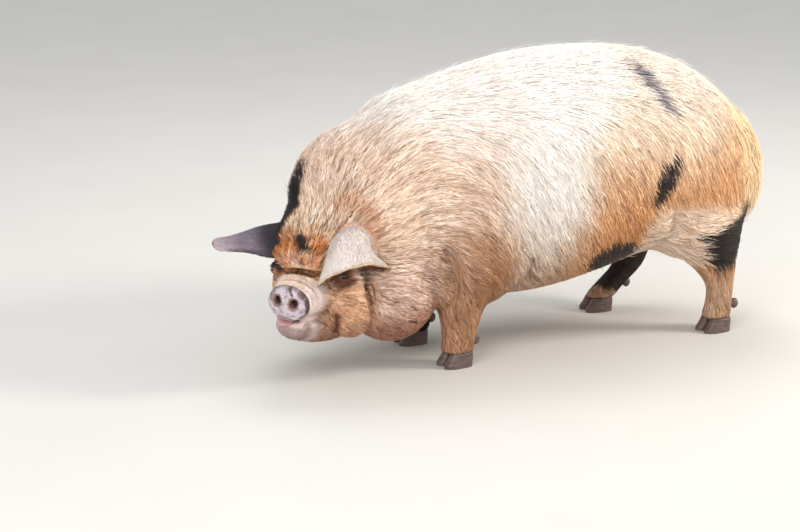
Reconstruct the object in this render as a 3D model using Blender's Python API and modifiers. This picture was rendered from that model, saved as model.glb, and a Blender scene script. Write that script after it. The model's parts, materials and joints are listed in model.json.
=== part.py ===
"""A kunekune pig, life size, standing with its head low and turned to its left.

Metres, +Z up. The pig faces -Y, its left side is +X, and the floor is z = 0.
The flesh is modelled whole from lofts and ellipsoids, fused, and then parted by thin cuts.
"""

import math

import bmesh
import bpy
import numpy as np
from mathutils import Matrix, Vector
from mathutils.bvhtree import BVHTree

# Torso stations from rump to throat: y, lowest z, highest z, half width, sideways shift.
TORSO_STATIONS = (
    (0.454, 0.290, 0.412, 0.066, 0.0),
    (0.424, 0.232, 0.474, 0.126, 0.0),
    (0.354, 0.204, 0.546, 0.182, 0.0),
    (0.260, 0.199, 0.608, 0.219, 0.0),
    (0.140, 0.179, 0.641, 0.240, 0.0),
    (0.000, 0.144, 0.647, 0.252, 0.0),
    (-0.120, 0.122, 0.639, 0.250, 0.0),
    (-0.240, 0.122, 0.616, 0.234, 0.0),
    (-0.350, 0.129, 0.590, 0.210, 0.008),
    (-0.450, 0.140, 0.564, 0.180, 0.020),
    (-0.530, 0.160, 0.502, 0.145, 0.035),
)
SECTION_POWER = 2.25
SECTION_SIDES = 32

# Each leg from the body down: x, y, z, half width, half depth.
FORE_LEFT = (
    (0.120, -0.270, 0.300, 0.095, 0.110),
    (0.132, -0.300, 0.200, 0.067, 0.092),
    (0.133, -0.322, 0.140, 0.047, 0.058),
    (0.132, -0.326, 0.090, 0.036, 0.042),
    (0.131, -0.329, 0.055, 0.033, 0.037),
    (0.130, -0.332, 0.030, 0.033, 0.038),
)
FORE_RIGHT = (
    (-0.110, -0.280, 0.300, 0.095, 0.110),
    (-0.100, -0.300, 0.200, 0.066, 0.080),
    (-0.085, -0.318, 0.140, 0.044, 0.052),
    (-0.076, -0.326, 0.090, 0.034, 0.038),
    (-0.072, -0.332, 0.055, 0.032, 0.036),
    (-0.070, -0.338, 0.030, 0.033, 0.038),
)
HIND_LEFT = (
    (0.130, 0.270, 0.360, 0.098, 0.140),
    (0.145, 0.270, 0.250, 0.075, 0.100),
    (0.148, 0.290, 0.190, 0.048, 0.076),
    (0.146, 0.315, 0.145, 0.036, 0.046),
    (0.144, 0.330, 0.100, 0.031, 0.030),
    (0.142, 0.329, 0.060, 0.030, 0.031),
    (0.140, 0.324, 0.030, 0.032, 0.035),
)
HIND_RIGHT = (
    (-0.130, 0.255, 0.360, 0.100, 0.150),
    (-0.145, 0.240, 0.250, 0.075, 0.112),
    (-0.145, 0.262, 0.190, 0.048, 0.072),
    (-0.142, 0.274, 0.145, 0.037, 0.046),
    (-0.138, 0.262, 0.100, 0.032, 0.037),
    (-0.134, 0.214, 0.060, 0.031, 0.035),
    (-0.130, 0.178, 0.030, 0.032, 0.036),
)

# The head's own frame starts midway between the eyes: -Y out of the snout, +X to the pig's left.
EYE_MIDPOINT = Vector((0.096, -0.655, 0.238))
HEAD_YAW = math.radians(40.0)
HEAD_PITCH = math.radians(8.0)
SNOUT_ROLL = math.radians(8.0)
SNOUT_AXIS_HEIGHT = -0.031

# Muzzle and jaw stations from the brow forwards: y, centre z, half width, half height.
MUZZLE_STATIONS = (
    (0.050, -0.036, 0.078, 0.056),
    (0.000, -0.036, 0.071, 0.047),
    (-0.040, -0.036, 0.060, 0.044),
    (-0.080, -0.033, 0.049, 0.041),
    (-0.104, -0.032, 0.044, 0.038),
)
JAW_STATIONS = (
    (0.070, -0.118, 0.076, 0.062),
    (0.020, -0.114, 0.066, 0.054),
    (-0.025, -0.108, 0.054, 0.044),
    (-0.060, -0.101, 0.043, 0.035),
    (-0.088, -0.095, 0.035, 0.027),
    (-0.107, -0.089, 0.026, 0.016),
)
DISC_CENTRE = Vector((0.0, -0.113, -0.031))
DISC_RADII = (0.0455, 0.015, 0.0385)

GAP = 0.0003
EYE_RADIUS = 0.0115
EYE_SIDE = 0.0765
LEG_CUT_HEIGHT = 0.118
LEG_BOTTOM = 0.030
SKIN_SHARE = 0.0155
PLACE = Vector((-0.0006, 0.1763, 0.0))

# Coat locks: their length, width and thickness, how deep the root is sunk and how far the tip stands off.
LOCK_SEED = 11
LOCK_LENGTH = 0.165
LOCK_WIDTH = 0.088
LOCK_THICKNESS = 0.006
LOCK_ROOT_DEPTH = 0.012
LOCK_TIP_LIFT = 0.004
LOCK_ROW_STEP = 0.112
LOCK_SIDE_STEP = 0.094
LOCK_RINGS = 4

COAT_COLOUR = (0.72, 0.50, 0.32)
COLOURS = (
    ("ear_right", (0.06, 0.05, 0.055)),
    ("ear_left", (0.86, 0.70, 0.58)),
    ("claw", (0.10, 0.09, 0.085)),
    ("eye", (0.03, 0.02, 0.015)),
    ("snout", (0.42, 0.33, 0.36)),
    ("tongue", (0.78, 0.38, 0.36)),
    ("jaw", (0.62, 0.47, 0.43)),
    ("tail", (0.80, 0.48, 0.18)),
    ("torso", (0.80, 0.58, 0.36)),
    ("shank", (0.35, 0.26, 0.20)),
)

# Ears as patches of control points in the head's frame: rows run root to rim, columns front to rear.
EAR_LEFT = (
    ((0.066, 0.034, 0.082), (0.082, 0.036, 0.093), (0.098, 0.048, 0.094), (0.110, 0.067, 0.083), (0.111, 0.087, 0.062)),
    ((0.056, -0.004, 0.067), (0.082, -0.010, 0.087), (0.107, 0.003, 0.090), (0.123, 0.028, 0.075), (0.121, 0.060, 0.050)),
    ((0.053, -0.033, 0.035), (0.080, -0.042, 0.063), (0.111, -0.027, 0.069), (0.130, 0.002, 0.056), (0.130, 0.039, 0.031)),
    ((0.046, -0.062, -0.002), (0.081, -0.065, 0.026), (0.116, -0.047, 0.040), (0.146, -0.014, 0.038), (0.156, 0.030, 0.016)),
    ((0.047, -0.070, -0.004), (0.083, -0.074, 0.024), (0.121, -0.056, 0.038), (0.154, -0.023, 0.035), (0.167, 0.025, 0.014)),
)
EAR_RIGHT = (
    ((-0.053, -0.012, 0.022), (-0.065, 0.004, 0.042), (-0.078, 0.028, 0.060), (-0.085, 0.058, 0.070), (-0.084, 0.088, 0.066)),
    ((-0.088, -0.026, 0.029), (-0.102, -0.019, 0.049), (-0.117, -0.001, 0.065), (-0.127, 0.023, 0.071), (-0.128, 0.047, 0.060)),
    ((-0.127, -0.044, 0.042), (-0.137, -0.041, 0.054), (-0.149, -0.028, 0.063), (-0.156, -0.012, 0.065), (-0.154, 0.006, 0.055)),
    ((-0.174, -0.064, 0.047), (-0.184, -0.066, 0.054), (-0.191, -0.061, 0.060), (-0.194, -0.051, 0.065), (-0.186, -0.038, 0.065)),
)
EAR_THICKNESS = 0.0065

# Folds pressed into the skin of the head, in its own frame, with their depth and half width.
HEAD_FOLDS = (
    (((0.064, -0.022, -0.008), (0.042, -0.042, 0.008), (0.0, -0.047, 0.012), (-0.042, -0.042, 0.008), (-0.064, -0.022, -0.008)), 0.013, 0.006),
    (((0.034, -0.030, 0.058), (0.0, -0.034, 0.066), (-0.034, -0.030, 0.058)), 0.005, 0.007),
    (((0.108, 0.036, -0.030), (0.118, 0.036, -0.060), (0.118, 0.040, -0.100)), 0.010, 0.008),
    (((0.060, -0.038, -0.078), (0.058, -0.034, -0.104), (0.058, -0.020, -0.130)), 0.010, 0.006),
    (((-0.056, -0.036, -0.078), (-0.056, -0.030, -0.104), (-0.056, -0.016, -0.130)), 0.010, 0.006),
)
# Folds round the muzzle, in the snout's frame.
SNOUT_FOLDS = (
    (((0.056, -0.088, -0.050), (0.046, -0.090, -0.008), (0.0, -0.092, 0.012), (-0.046, -0.090, -0.008), (-0.056, -0.088, -0.050)), 0.0035, 0.005),
    (((0.058, -0.070, -0.050), (0.046, -0.072, -0.004), (0.0, -0.074, 0.016), (-0.046, -0.072, -0.004), (-0.058, -0.070, -0.050)), 0.003, 0.005),
)
# Folds of the body, in the world frame.
BODY_FOLDS = (
    (((0.190, -0.400, 0.300), (0.215, -0.385, 0.230), (0.200, -0.380, 0.150), (0.150, -0.385, 0.120)), 0.014, 0.012),
    (((0.215, -0.190, 0.240), (0.200, -0.185, 0.190), (0.150, -0.190, 0.160)), 0.012, 0.014),
    (((-0.215, -0.200, 0.240), (-0.200, -0.195, 0.190), (-0.150, -0.200, 0.160)), 0.012, 0.014),
    (((0.232, 0.150, 0.350), (0.215, 0.170, 0.270), (0.180, 0.190, 0.225)), 0.010, 0.016),
    (((-0.232, 0.130, 0.350), (-0.215, 0.140, 0.270), (-0.180, 0.140, 0.225)), 0.010, 0.016),
    (((0.0, 0.450, 0.360), (0.0, 0.440, 0.300), (0.0, 0.410, 0.240)), 0.018, 0.012),
)

# Tail from the root down: x, y, z, radius.
TAIL_STATIONS = (
    (0.000, 0.398, 0.440, 0.017),
    (0.003, 0.438, 0.432, 0.015),
    (0.008, 0.464, 0.402, 0.012),
    (0.012, 0.468, 0.362, 0.010),
    (0.010, 0.465, 0.326, 0.008),
    (0.004, 0.463, 0.300, 0.005),
)


def head_matrix():
    turn = Matrix.Rotation(HEAD_YAW, 4, "Z")
    nod = Matrix.Rotation(HEAD_PITCH, 4, "X")
    return Matrix.Translation(EYE_MIDPOINT) @ turn @ nod


def snout_matrix(head):
    """The head's frame rolled a little about the snout's own axis."""
    lift = Matrix.Translation((0.0, 0.0, SNOUT_AXIS_HEIGHT))
    return head @ lift @ Matrix.Rotation(SNOUT_ROLL, 4, "Y") @ lift.inverted()


def new_object(name, mesh):
    made = bpy.data.objects.new(name, mesh)
    bpy.context.scene.collection.objects.link(made)
    return made


def from_bmesh(name, shape):
    mesh = bpy.data.meshes.new(name)
    shape.to_mesh(mesh)
    shape.free()
    return new_object(name, mesh)


def ellipsoid(centre, radii, frame=None, segments=32, rings=20):
    """A closed ellipsoid in the given frame."""
    frame = frame or Matrix.Identity(4)
    shape = bmesh.new()
    bmesh.ops.create_uvsphere(shape, u_segments=segments, v_segments=rings, radius=1.0)
    shape.transform(frame @ Matrix.Translation(centre) @ Matrix.Diagonal((*radii, 1.0)))
    return from_bmesh("ellipsoid", shape)


def smooth_rows(rows, per_span):
    """Rows of numbers joined by a Catmull-Rom curve, with per_span steps in each span."""
    rows = np.array(rows, float)
    padded = np.concatenate([[2 * rows[0] - rows[1]], rows, [2 * rows[-1] - rows[-2]]])
    found = []
    for i in range(len(rows) - 1):
        a, b, c, d = padded[i : i + 4]
        for t in np.arange(per_span) / per_span:
            cubic = t * (3 * (b - c) + d - a)
            found.append(b + 0.5 * t * (c - a + t * (2 * a - 5 * b + 4 * c - d + cubic)))
    found.append(rows[-1])
    return np.array(found)


def loft(rings, frame=None):
    """A closed body through rings of points, each ring with as many points as the others."""
    frame = frame or Matrix.Identity(4)
    shape = bmesh.new()
    loops = [[shape.verts.new(frame @ Vector(p)) for p in ring] for ring in rings]
    for here, after in zip(loops, loops[1:]):
        for i in range(len(here)):
            j = (i + 1) % len(here)
            shape.faces.new((here[i], here[j], after[j], after[i]))
    shape.faces.new(loops[0][::-1])
    shape.faces.new(loops[-1])
    bmesh.ops.triangulate(shape, faces=shape.faces)
    bmesh.ops.recalc_face_normals(shape, faces=shape.faces)
    return from_bmesh("loft", shape)


def section(half_width, half_height, power=2.0, sides=SECTION_SIDES):
    """Points of a superellipse, as pairs."""
    found = []
    for i in range(sides):
        angle = 2 * math.pi * i / sides
        c, s = math.cos(angle), math.sin(angle)
        across = math.copysign(abs(c) ** (2 / power), c) * half_width
        upward = math.copysign(abs(s) ** (2 / power), s) * half_height
        found.append((across, upward))
    return found


def torso_loft():
    rings = []
    for y, low, high, half_width, shift in smooth_rows(TORSO_STATIONS, 4):
        middle, half_height = (low + high) / 2, (high - low) / 2
        outline = section(half_width, half_height, SECTION_POWER)
        rings.append([(shift + x, y, middle + z) for x, z in outline])
    return loft(rings)


def leg_loft(stations):
    rings = []
    for x, y, z, half_width, half_depth in smooth_rows(stations, 3):
        rings.append([(x + a, y + b, z) for a, b in section(half_width, half_depth, sides=20)])
    return loft(rings)


def head_loft(stations, frame):
    rings = []
    for y, z, half_width, half_height in smooth_rows(stations, 3):
        rings.append([(a, y, z + b) for a, b in section(half_width, half_height, 2.2, 24)])
    return loft(rings, frame)


def tube(stations, per_span=2, sides=10):
    """A closed tube along points with a radius each."""
    rows = smooth_rows(stations, per_span)
    rings = []
    for i, row in enumerate(rows):
        along = Vector(rows[min(i + 1, len(rows) - 1)][:3] - rows[max(i - 1, 0)][:3]).normalized()
        side = along.cross(Vector((1.0, 0.0, 0.0))).normalized()
        other = along.cross(side)
        centre = Vector(row[:3])
        rings.append([centre + side * a + other * b for a, b in section(row[3], row[3], sides=sides)])
    return loft(rings)


def evaluated(host, name):
    """A new object holding the host's mesh with its modifiers applied. The host is used up."""
    graph = bpy.context.evaluated_depsgraph_get()
    mesh = bpy.data.meshes.new_from_object(host.evaluated_get(graph))
    bpy.data.objects.remove(host)
    return new_object(name, mesh)


def fused(name, pieces, voxel, rounds):
    """One closed skin round all the pieces, smoothed that many times. The pieces are used up."""
    host = pieces[0]
    with bpy.context.temp_override(active_object=host, selected_editable_objects=pieces):
        bpy.ops.object.join()
    remesh = host.modifiers.new("remesh", "REMESH")
    remesh.mode = "VOXEL"
    remesh.voxel_size = voxel
    smooth = host.modifiers.new("smooth", "SMOOTH")
    smooth.factor = 0.5
    smooth.iterations = rounds
    return evaluated(host, name)


def body_masses(head):
    """The large rounded masses of the trunk, neck and head."""
    return [
        torso_loft(),
        ellipsoid((0.112, -0.290, 0.330), (0.122, 0.150, 0.212)),
        ellipsoid((-0.112, -0.290, 0.330), (0.122, 0.150, 0.212)),
        ellipsoid((0.106, 0.262, 0.345), (0.120, 0.145, 0.178)),
        ellipsoid((-0.106, 0.262, 0.345), (0.120, 0.145, 0.178)),
        ellipsoid((0.045, -0.500, 0.335), (0.160, 0.140, 0.170)),
        ellipsoid((0.012, -0.488, 0.385), (0.140, 0.165, 0.136)),
        ellipsoid((0.060, -0.490, 0.195), (0.140, 0.120, 0.100)),
        ellipsoid((0.0, 0.080, 0.030), (0.108, 0.100, 0.105), head),
        ellipsoid((0.111, 0.138, -0.080), (0.104, 0.115, 0.116), head),
        ellipsoid((-0.060, 0.148, -0.062), (0.078, 0.100, 0.104), head),
    ]


def head_details(head):
    snout = snout_matrix(head)
    return [
        ellipsoid((0.0, 0.032, 0.052), (0.080, 0.050, 0.060), head),
        ellipsoid((0.0, -0.014, 0.034), (0.072, 0.036, 0.028), head),
        ellipsoid((0.060, 0.014, -0.004), (0.032, 0.036, 0.034), head),
        ellipsoid((-0.060, 0.014, -0.004), (0.032, 0.036, 0.034), head),
        ellipsoid((0.074, 0.022, -0.086), (0.047, 0.060, 0.062), head),
        ellipsoid((0.070, 0.022, -0.046), (0.044, 0.052, 0.050), head),
        ellipsoid((-0.062, 0.030, -0.046), (0.040, 0.048, 0.048), head),
        ellipsoid((-0.060, 0.032, -0.084), (0.044, 0.058, 0.060), head),
        ellipsoid((0.0, -0.030, -0.012), (0.052, 0.036, 0.024), head),
        ellipsoid(DISC_CENTRE, DISC_RADII, snout),
        head_loft(MUZZLE_STATIONS, snout),
        head_loft(JAW_STATIONS, snout),
    ]


def vertex_array(mesh):
    points = np.empty(len(mesh.vertices) * 3)
    mesh.vertices.foreach_get("co", points)
    return points.reshape(-1, 3)


def normal_array(mesh):
    normals = np.empty(len(mesh.vertices) * 3)
    mesh.vertex_normals.foreach_get("vector", normals)
    return normals.reshape(-1, 3)


def pressed_folds(target, folds, frame=None):
    """Presses each fold's line into the skin, and raises the skin a little on both sides."""
    frame = frame or Matrix.Identity(4)
    mesh = target.data
    tree = BVHTree.FromObject(target, bpy.context.evaluated_depsgraph_get())
    points, normals = vertex_array(mesh), normal_array(mesh)
    moved = np.zeros(len(points))
    for line, depth, width in folds:
        path = [tree.find_nearest(frame @ Vector(p))[0] for p in smooth_rows(line, 6)]
        path = np.array(path)
        near = np.all((points > path.min(0) - 5 * width) & (points < path.max(0) + 5 * width), axis=1)
        index = np.nonzero(near)[0]
        offsets = points[index][:, None, :] - path[None, :-1, :]
        spans = path[1:] - path[:-1]
        along = np.einsum("ijk,jk->ij", offsets, spans) / np.maximum((spans**2).sum(1), 1e-12)
        feet = offsets - np.clip(along, 0, 1)[:, :, None] * spans[None]
        distance = np.sqrt((feet**2).sum(2))
        closest = distance.argmin(1)
        apart = distance[np.arange(len(index)), closest]
        place = (closest + np.clip(along[np.arange(len(index)), closest], 0, 1)) / len(spans)
        fade = np.minimum(1, np.minimum(place, 1 - place) * 5 + 0.15)
        press = np.exp(-((apart / width) ** 2)) - 0.35 * np.exp(-(((apart - 1.9 * width) / width) ** 2))
        moved[index] += press * fade * depth
    points = points - normals * moved[:, None]
    mesh.vertices.foreach_set("co", points.ravel())
    mesh.update()


def thinned(target, name, share):
    """The skin with that share of its triangles, more of them left where it bends."""
    thin = target.modifiers.new("thin", "DECIMATE")
    thin.ratio = share
    return evaluated(target, name)


def combined(target, tools, operation):
    """The target united with, cut by or cut down to each tool. The tools are used up."""
    for tool in tools:
        modifier = target.modifiers.new("cut", "BOOLEAN")
        modifier.object = tool
        modifier.operation = operation
        modifier.solver = "MANIFOLD"
    name = target.name
    made = evaluated(target, name + "_new")
    for tool in tools:
        bpy.data.objects.remove(tool)
    made.name = name
    return made


def copied(source, name):
    return new_object(name, source.data.copy())


def largest(target):
    """Only the largest closed surface of the target."""
    shape = bmesh.new()
    shape.from_mesh(target.data)
    shape.faces.ensure_lookup_table()
    seen, groups = set(), []
    for face in shape.faces:
        if face.index in seen:
            continue
        stack, group = [face], []
        seen.add(face.index)
        while stack:
            here = stack.pop()
            group.append(here)
            for edge in here.edges:
                for other in edge.link_faces:
                    if other.index not in seen:
                        seen.add(other.index)
                        stack.append(other)
        groups.append(group)
    groups.sort(key=len, reverse=True)
    extra = [face for group in groups[1:] for face in group]
    bmesh.ops.delete(shape, geom=extra, context="FACES")
    loose = [v for v in shape.verts if not v.link_faces]
    bmesh.ops.delete(shape, geom=loose, context="VERTS")
    shape.to_mesh(target.data)
    shape.free()
    return target


def region(planes, grow=0.0):
    """A closed block bounded by planes, each a point on it and a normal that points outwards."""
    shape = bmesh.new()
    bmesh.ops.create_cube(shape, size=4.0)
    for point, normal in planes:
        outward = Vector(normal).normalized()
        everything = shape.verts[:] + shape.edges[:] + shape.faces[:]
        spot = Vector(point) + outward * grow
        bmesh.ops.bisect_plane(shape, geom=everything, plane_co=spot, plane_no=outward, clear_outer=True)
        rim = [edge for edge in shape.edges if edge.is_boundary]
        bmesh.ops.contextual_create(shape, geom=rim)
    bmesh.ops.triangulate(shape, faces=shape.faces)
    bmesh.ops.recalc_face_normals(shape, faces=shape.faces)
    return from_bmesh("region", shape)


def parted(whole, name, planes):
    """Takes the part of the whole inside the planes as a node of its own, with a gap round it."""
    piece = combined(copied(whole, name), [region(planes)], "INTERSECT")
    rest = combined(whole, [region(planes, GAP)], "DIFFERENCE")
    return largest(piece), largest(rest)


def swollen(source, amount):
    """A copy of the source with its skin moved outwards."""
    made = copied(source, "swollen")
    points = vertex_array(made.data) + normal_array(made.data) * amount
    made.data.vertices.foreach_set("co", points.ravel())
    made.data.update()
    return made


def ear_shell(name, rows, head):
    """A cupped sheet through the rows of control points, thickest at the root."""
    across = np.array([smooth_rows(row, 2) for row in rows])
    grid = smooth_rows(across, 2)
    steps_long, steps_wide = grid.shape[:2]
    long_way = np.gradient(grid, axis=0)
    wide_way = np.gradient(grid, axis=1)
    normals = np.cross(wide_way, long_way)
    normals /= np.linalg.norm(normals, axis=2, keepdims=True)
    u = np.linspace(0, 1, steps_long)[:, None]
    v = np.linspace(-1, 1, steps_wide)[None, :]
    half = 0.5 * EAR_THICKNESS * (1.25 - 0.55 * u) * (1 - 0.55 * np.abs(v) ** 6)
    upper = grid + normals * half[:, :, None]
    lower = grid - normals * half[:, :, None]
    shape = bmesh.new()
    sheets = []
    for sheet in (upper, lower):
        sheets.append([[shape.verts.new(head @ Vector(p)) for p in row] for row in sheet])
    top, bottom = sheets
    for i in range(steps_long - 1):
        for j in range(steps_wide - 1):
            shape.faces.new((top[i][j], top[i + 1][j], top[i + 1][j + 1], top[i][j + 1]))
            shape.faces.new((bottom[i][j], bottom[i][j + 1], bottom[i + 1][j + 1], bottom[i + 1][j]))
    border = [(i, 0) for i in range(steps_long)]
    border += [(steps_long - 1, j) for j in range(1, steps_wide)]
    border += [(i, steps_wide - 1) for i in range(steps_long - 2, -1, -1)]
    border += [(0, j) for j in range(steps_wide - 2, 0, -1)]
    for (i, j), (k, m) in zip(border, border[1:] + border[:1]):
        shape.faces.new((top[i][j], bottom[i][j], bottom[k][m], top[k][m]))
    bmesh.ops.triangulate(shape, faces=shape.faces)
    bmesh.ops.recalc_face_normals(shape, faces=shape.faces)
    return from_bmesh(name, shape)


def hair_flow(point, head):
    """Which way the coat lies at a point: back from the face, along the back, and down the sides."""
    local = head.inverted() @ point
    from_face = head.to_3x3() @ Vector((local.x * 0.8, 0.16, local.z * 0.6 + 0.02))
    side = abs(point.x) / 0.25
    low = max(0.0, min(1.0, (0.62 - point.z) / 0.30))
    rear = max(0.0, min(1.0, (point.y - 0.20) / 0.22))
    along = Vector((math.copysign(0.25 * side, point.x), 1.0 - 0.55 * rear, -0.15 - 1.1 * low * side - 0.9 * rear))
    blend = max(0.0, min(1.0, (point.y + 0.56) / 0.16))
    return from_face.normalized().lerp(along.normalized(), blend).normalized()


def lock_seats(tree, head, seed):
    """Staggered places for the locks over the trunk, neck and poll, with the normal and lie at each."""
    spread = np.random.default_rng(seed)
    seats = []
    rows = np.arange(-0.62, 0.44, LOCK_ROW_STEP)
    for row, y in enumerate(rows):
        middle = Vector((max(0.0, -0.35 - y) * 0.18, y, 0.36))
        crown = tree.ray_cast(middle + Vector((0, 0, 0.6)), Vector((0, 0, -1)), 0.6)[0]
        if crown is None:
            continue
        count = round(2 * math.pi * (crown.z - 0.36) * 0.92 / LOCK_SIDE_STEP)
        for i in range(count):
            angle = 2 * math.pi * (i + 0.5 * (row % 2)) / count
            angle += spread.uniform(-0.05, 0.05)
            start = middle + Vector((0.0, spread.uniform(-0.015, 0.015), 0.0))
            ray = Vector((math.sin(angle), 0.0, math.cos(angle)))
            far = start + ray * 0.6
            spot, normal, _, _ = tree.ray_cast(far, -ray, 0.6)
            if spot is None or not coat_grows(spot, normal, head):
                continue
            seats.append((spot, normal, hair_flow(spot, head)))
    return seats


def coat_grows(spot, normal, head):
    """Whether a lock starts here: not on the face, round the ears, under the belly or on the legs."""
    local = head.inverted() @ spot
    if local.y < 0.055 and local.z < 0.09:
        return False
    for side in (1, -1):
        if (local - Vector((side * 0.085, 0.060, 0.085))).length < 0.075:
            return False
    if spot.z < 0.20 or normal.z < -0.45:
        return False
    return True


def lock_body(tree, seat, spread):
    """One closed lock: a flat tapered blade that follows the skin, its root sunk and its tip free."""
    spot, normal, lie = seat
    size = spread.uniform(0.88, 1.12)
    bend = spread.uniform(-0.35, 0.35)
    rings = []
    here = Vector(spot)
    heading = (lie - normal * lie.dot(normal)).normalized()
    for i in range(LOCK_RINGS):
        t = i / (LOCK_RINGS - 1)
        nearest, up, _, _ = tree.find_nearest(here)
        heading = (heading - up * heading.dot(up)).normalized()
        side = heading.cross(up).normalized()
        taper = 0.70 + 0.60 * t if t < 0.5 else 1.02 - (2 * t - 1) ** 1.6
        width = LOCK_WIDTH * size * taper * 0.5
        depth = -LOCK_ROOT_DEPTH * (1 - t) ** 2 - 0.003
        crown = LOCK_THICKNESS * (0.35 + 0.65 * min(1.0, t * 2.5)) + LOCK_TIP_LIFT * max(0.0, t - 0.45) / 0.55
        if t > 0.7:
            depth = LOCK_TIP_LIFT * (t - 0.7) / 0.3 - 0.003
        crown = max(crown, depth + 0.002)
        edge = nearest + up * depth
        rings.append((edge + side * width, nearest + up * crown, edge - side * width))
        step = LOCK_LENGTH * size / (LOCK_RINGS - 1)
        turn = Matrix.Rotation(bend / (LOCK_RINGS - 1), 3, up)
        heading = turn @ heading
        pull = lie - up * lie.dot(up)
        heading = (heading + 0.3 * pull.normalized()).normalized()
        here = nearest + heading * step
    return loft(rings)


def coated(skin, head):
    """The skin with its locks fused on."""
    tree = BVHTree.FromObject(skin, bpy.context.evaluated_depsgraph_get())
    spread = np.random.default_rng(LOCK_SEED)
    locks = bpy.data.collections.new("locks")
    bpy.context.scene.collection.children.link(locks)
    for seat in lock_seats(tree, head, LOCK_SEED):
        lock = lock_body(tree, seat, spread)
        bpy.context.scene.collection.objects.unlink(lock)
        locks.objects.link(lock)
    union = skin.modifiers.new("coat", "BOOLEAN")
    union.operation = "UNION"
    union.operand_type = "COLLECTION"
    union.collection = locks
    union.solver = "MANIFOLD"
    made = evaluated(skin, "coated")
    for lock in list(locks.objects):
        bpy.data.objects.remove(lock)
    bpy.data.collections.remove(locks)
    return largest(made)


def claw_body(x, y, side, turn):
    """One hoof claw standing on the floor: a flat sole, a sloping front wall and a flat inner side."""
    rings = []
    rows = ((0.0, 0.006, 0.0165, 0.034), (0.008, 0.005, 0.0165, 0.033), (0.020, 0.000, 0.0155, 0.029), (0.0297, -0.003, 0.0145, 0.026))
    spin = Matrix.Rotation(turn, 4, "Z")
    for z, forward, half_width, half_length in rows:
        ring = []
        for a, b in section(half_width, half_length, 2.4, 12):
            a = max(a, -half_width * 0.82) if side > 0 else min(a, half_width * 0.82)
            spread = side * (0.0155 + 0.10 * max(0.0, forward - b) * 0.2)
            ring.append(Vector((x, y, z)) + spin @ Vector((spread + a, b - forward, 0.0)))
        rings.append(ring)
    return loft(rings)


def dewclaw_body(x, y, z, side, turn, swell=0.0):
    frame = Matrix.Translation((x, y, z)) @ Matrix.Rotation(turn, 4, "Z")
    centre = (side * 0.016, 0.033, 0.002)
    return ellipsoid(centre, (0.0075 + swell, 0.010 + swell, 0.012 + swell), frame, 8, 5)


def painted(target, colour, roughness=0.85):
    material = bpy.data.materials.new(target.name)
    material.use_nodes = True
    shader = material.node_tree.nodes["Principled BSDF"]
    shader.inputs["Base Color"].default_value = (*colour, 1.0)
    shader.inputs["Roughness"].default_value = roughness
    target.data.materials.clear()
    target.data.materials.append(material)
    for face in target.data.polygons:
        face.material_index = 0


def cut_face(skin, head):
    """Lids, eye openings, sockets, nostrils and the line of the mouth."""
    snout = snout_matrix(head)
    lids, openings = [], []
    for side in (1, -1):
        eye = Vector((side * EYE_SIDE, -0.006, -0.002))
        outward = Vector((side * 0.72, -0.66, 0.14)).normalized()
        lids.append(ellipsoid(eye - outward * 0.002, (EYE_RADIUS + 0.005,) * 3, head, 16, 10))
        sight = outward.to_track_quat("Y", "Z").to_matrix().to_4x4()
        slot = head @ Matrix.Translation(eye + outward * 0.014) @ sight
        openings.append(ellipsoid((0, 0, 0), (0.0115, 0.016, 0.0062), slot, 16, 10))
        openings.append(ellipsoid(eye, (EYE_RADIUS + GAP,) * 3, head, 20, 14))
        nostril = snout @ Matrix.Translation((side * 0.0180, -0.128, -0.024))
        nostril = nostril @ Matrix.Rotation(side * 0.35, 4, "Y")
        openings.append(ellipsoid((0, 0, 0), (0.0075, 0.020, 0.0100), nostril, 14, 10))
    mouth = []
    for y, half_height, z in ((-0.150, 0.0068, -0.0745), (-0.104, 0.0055, -0.0745), (-0.070, 0.0018, -0.0775), (-0.036, 0.0008, -0.0820)):
        mouth.append([(x, y, z + h + 1.6 * x * x) for x, h in mouth_outline(half_height)])
    openings.append(loft(mouth, snout))
    skin = combined(skin, lids, "UNION")
    return combined(skin, openings, "DIFFERENCE")


def mouth_outline(half_height):
    wide = [-0.10 + 0.025 * i for i in range(9)]
    return [(x, -half_height) for x in wide] + [(x, half_height) for x in wide[::-1]]


def head_plane(head, point, normal):
    return head @ Vector(point), head.to_3x3() @ Vector(normal)


def leg_planes(side, inner, front, rear):
    """The block that takes in one leg from its root in the body down to the floor."""
    oblique = Vector((-side * 0.66, 0.0, 0.75))
    return (
        (Vector((side * inner, front, 0.0)), Vector((-side, 0.0, 0.0))),
        (Vector((side * 0.150, front, 0.0)), Vector((0.0, -1.0, 0.05))),
        (Vector((side * 0.150, rear, 0.0)), Vector((0.0, 1.0, 0.05))),
        (Vector((side * 0.135, 0.0, 0.205)), oblique),
    )


def hoof_set(name, stations, turn):
    """Two claws and two dewclaws of one foot, and the larger copies that make room for them."""
    made, room = [], []
    x, y = stations[-1][:2]
    ankle_x, ankle_y, ankle_z = stations[-2][:3]
    for side, place in ((1, "left"), (-1, "right")):
        claw = claw_body(x, y, side, turn)
        claw.name = f"{name}_claw_{place}"
        dew = dewclaw_body(ankle_x, ankle_y, ankle_z, side, turn)
        dew.name = f"{name}_dewclaw_{place}"
        room.append(dewclaw_body(ankle_x, ankle_y, ankle_z, side, turn, GAP))
        made += [claw, dew]
    return made, room


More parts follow.
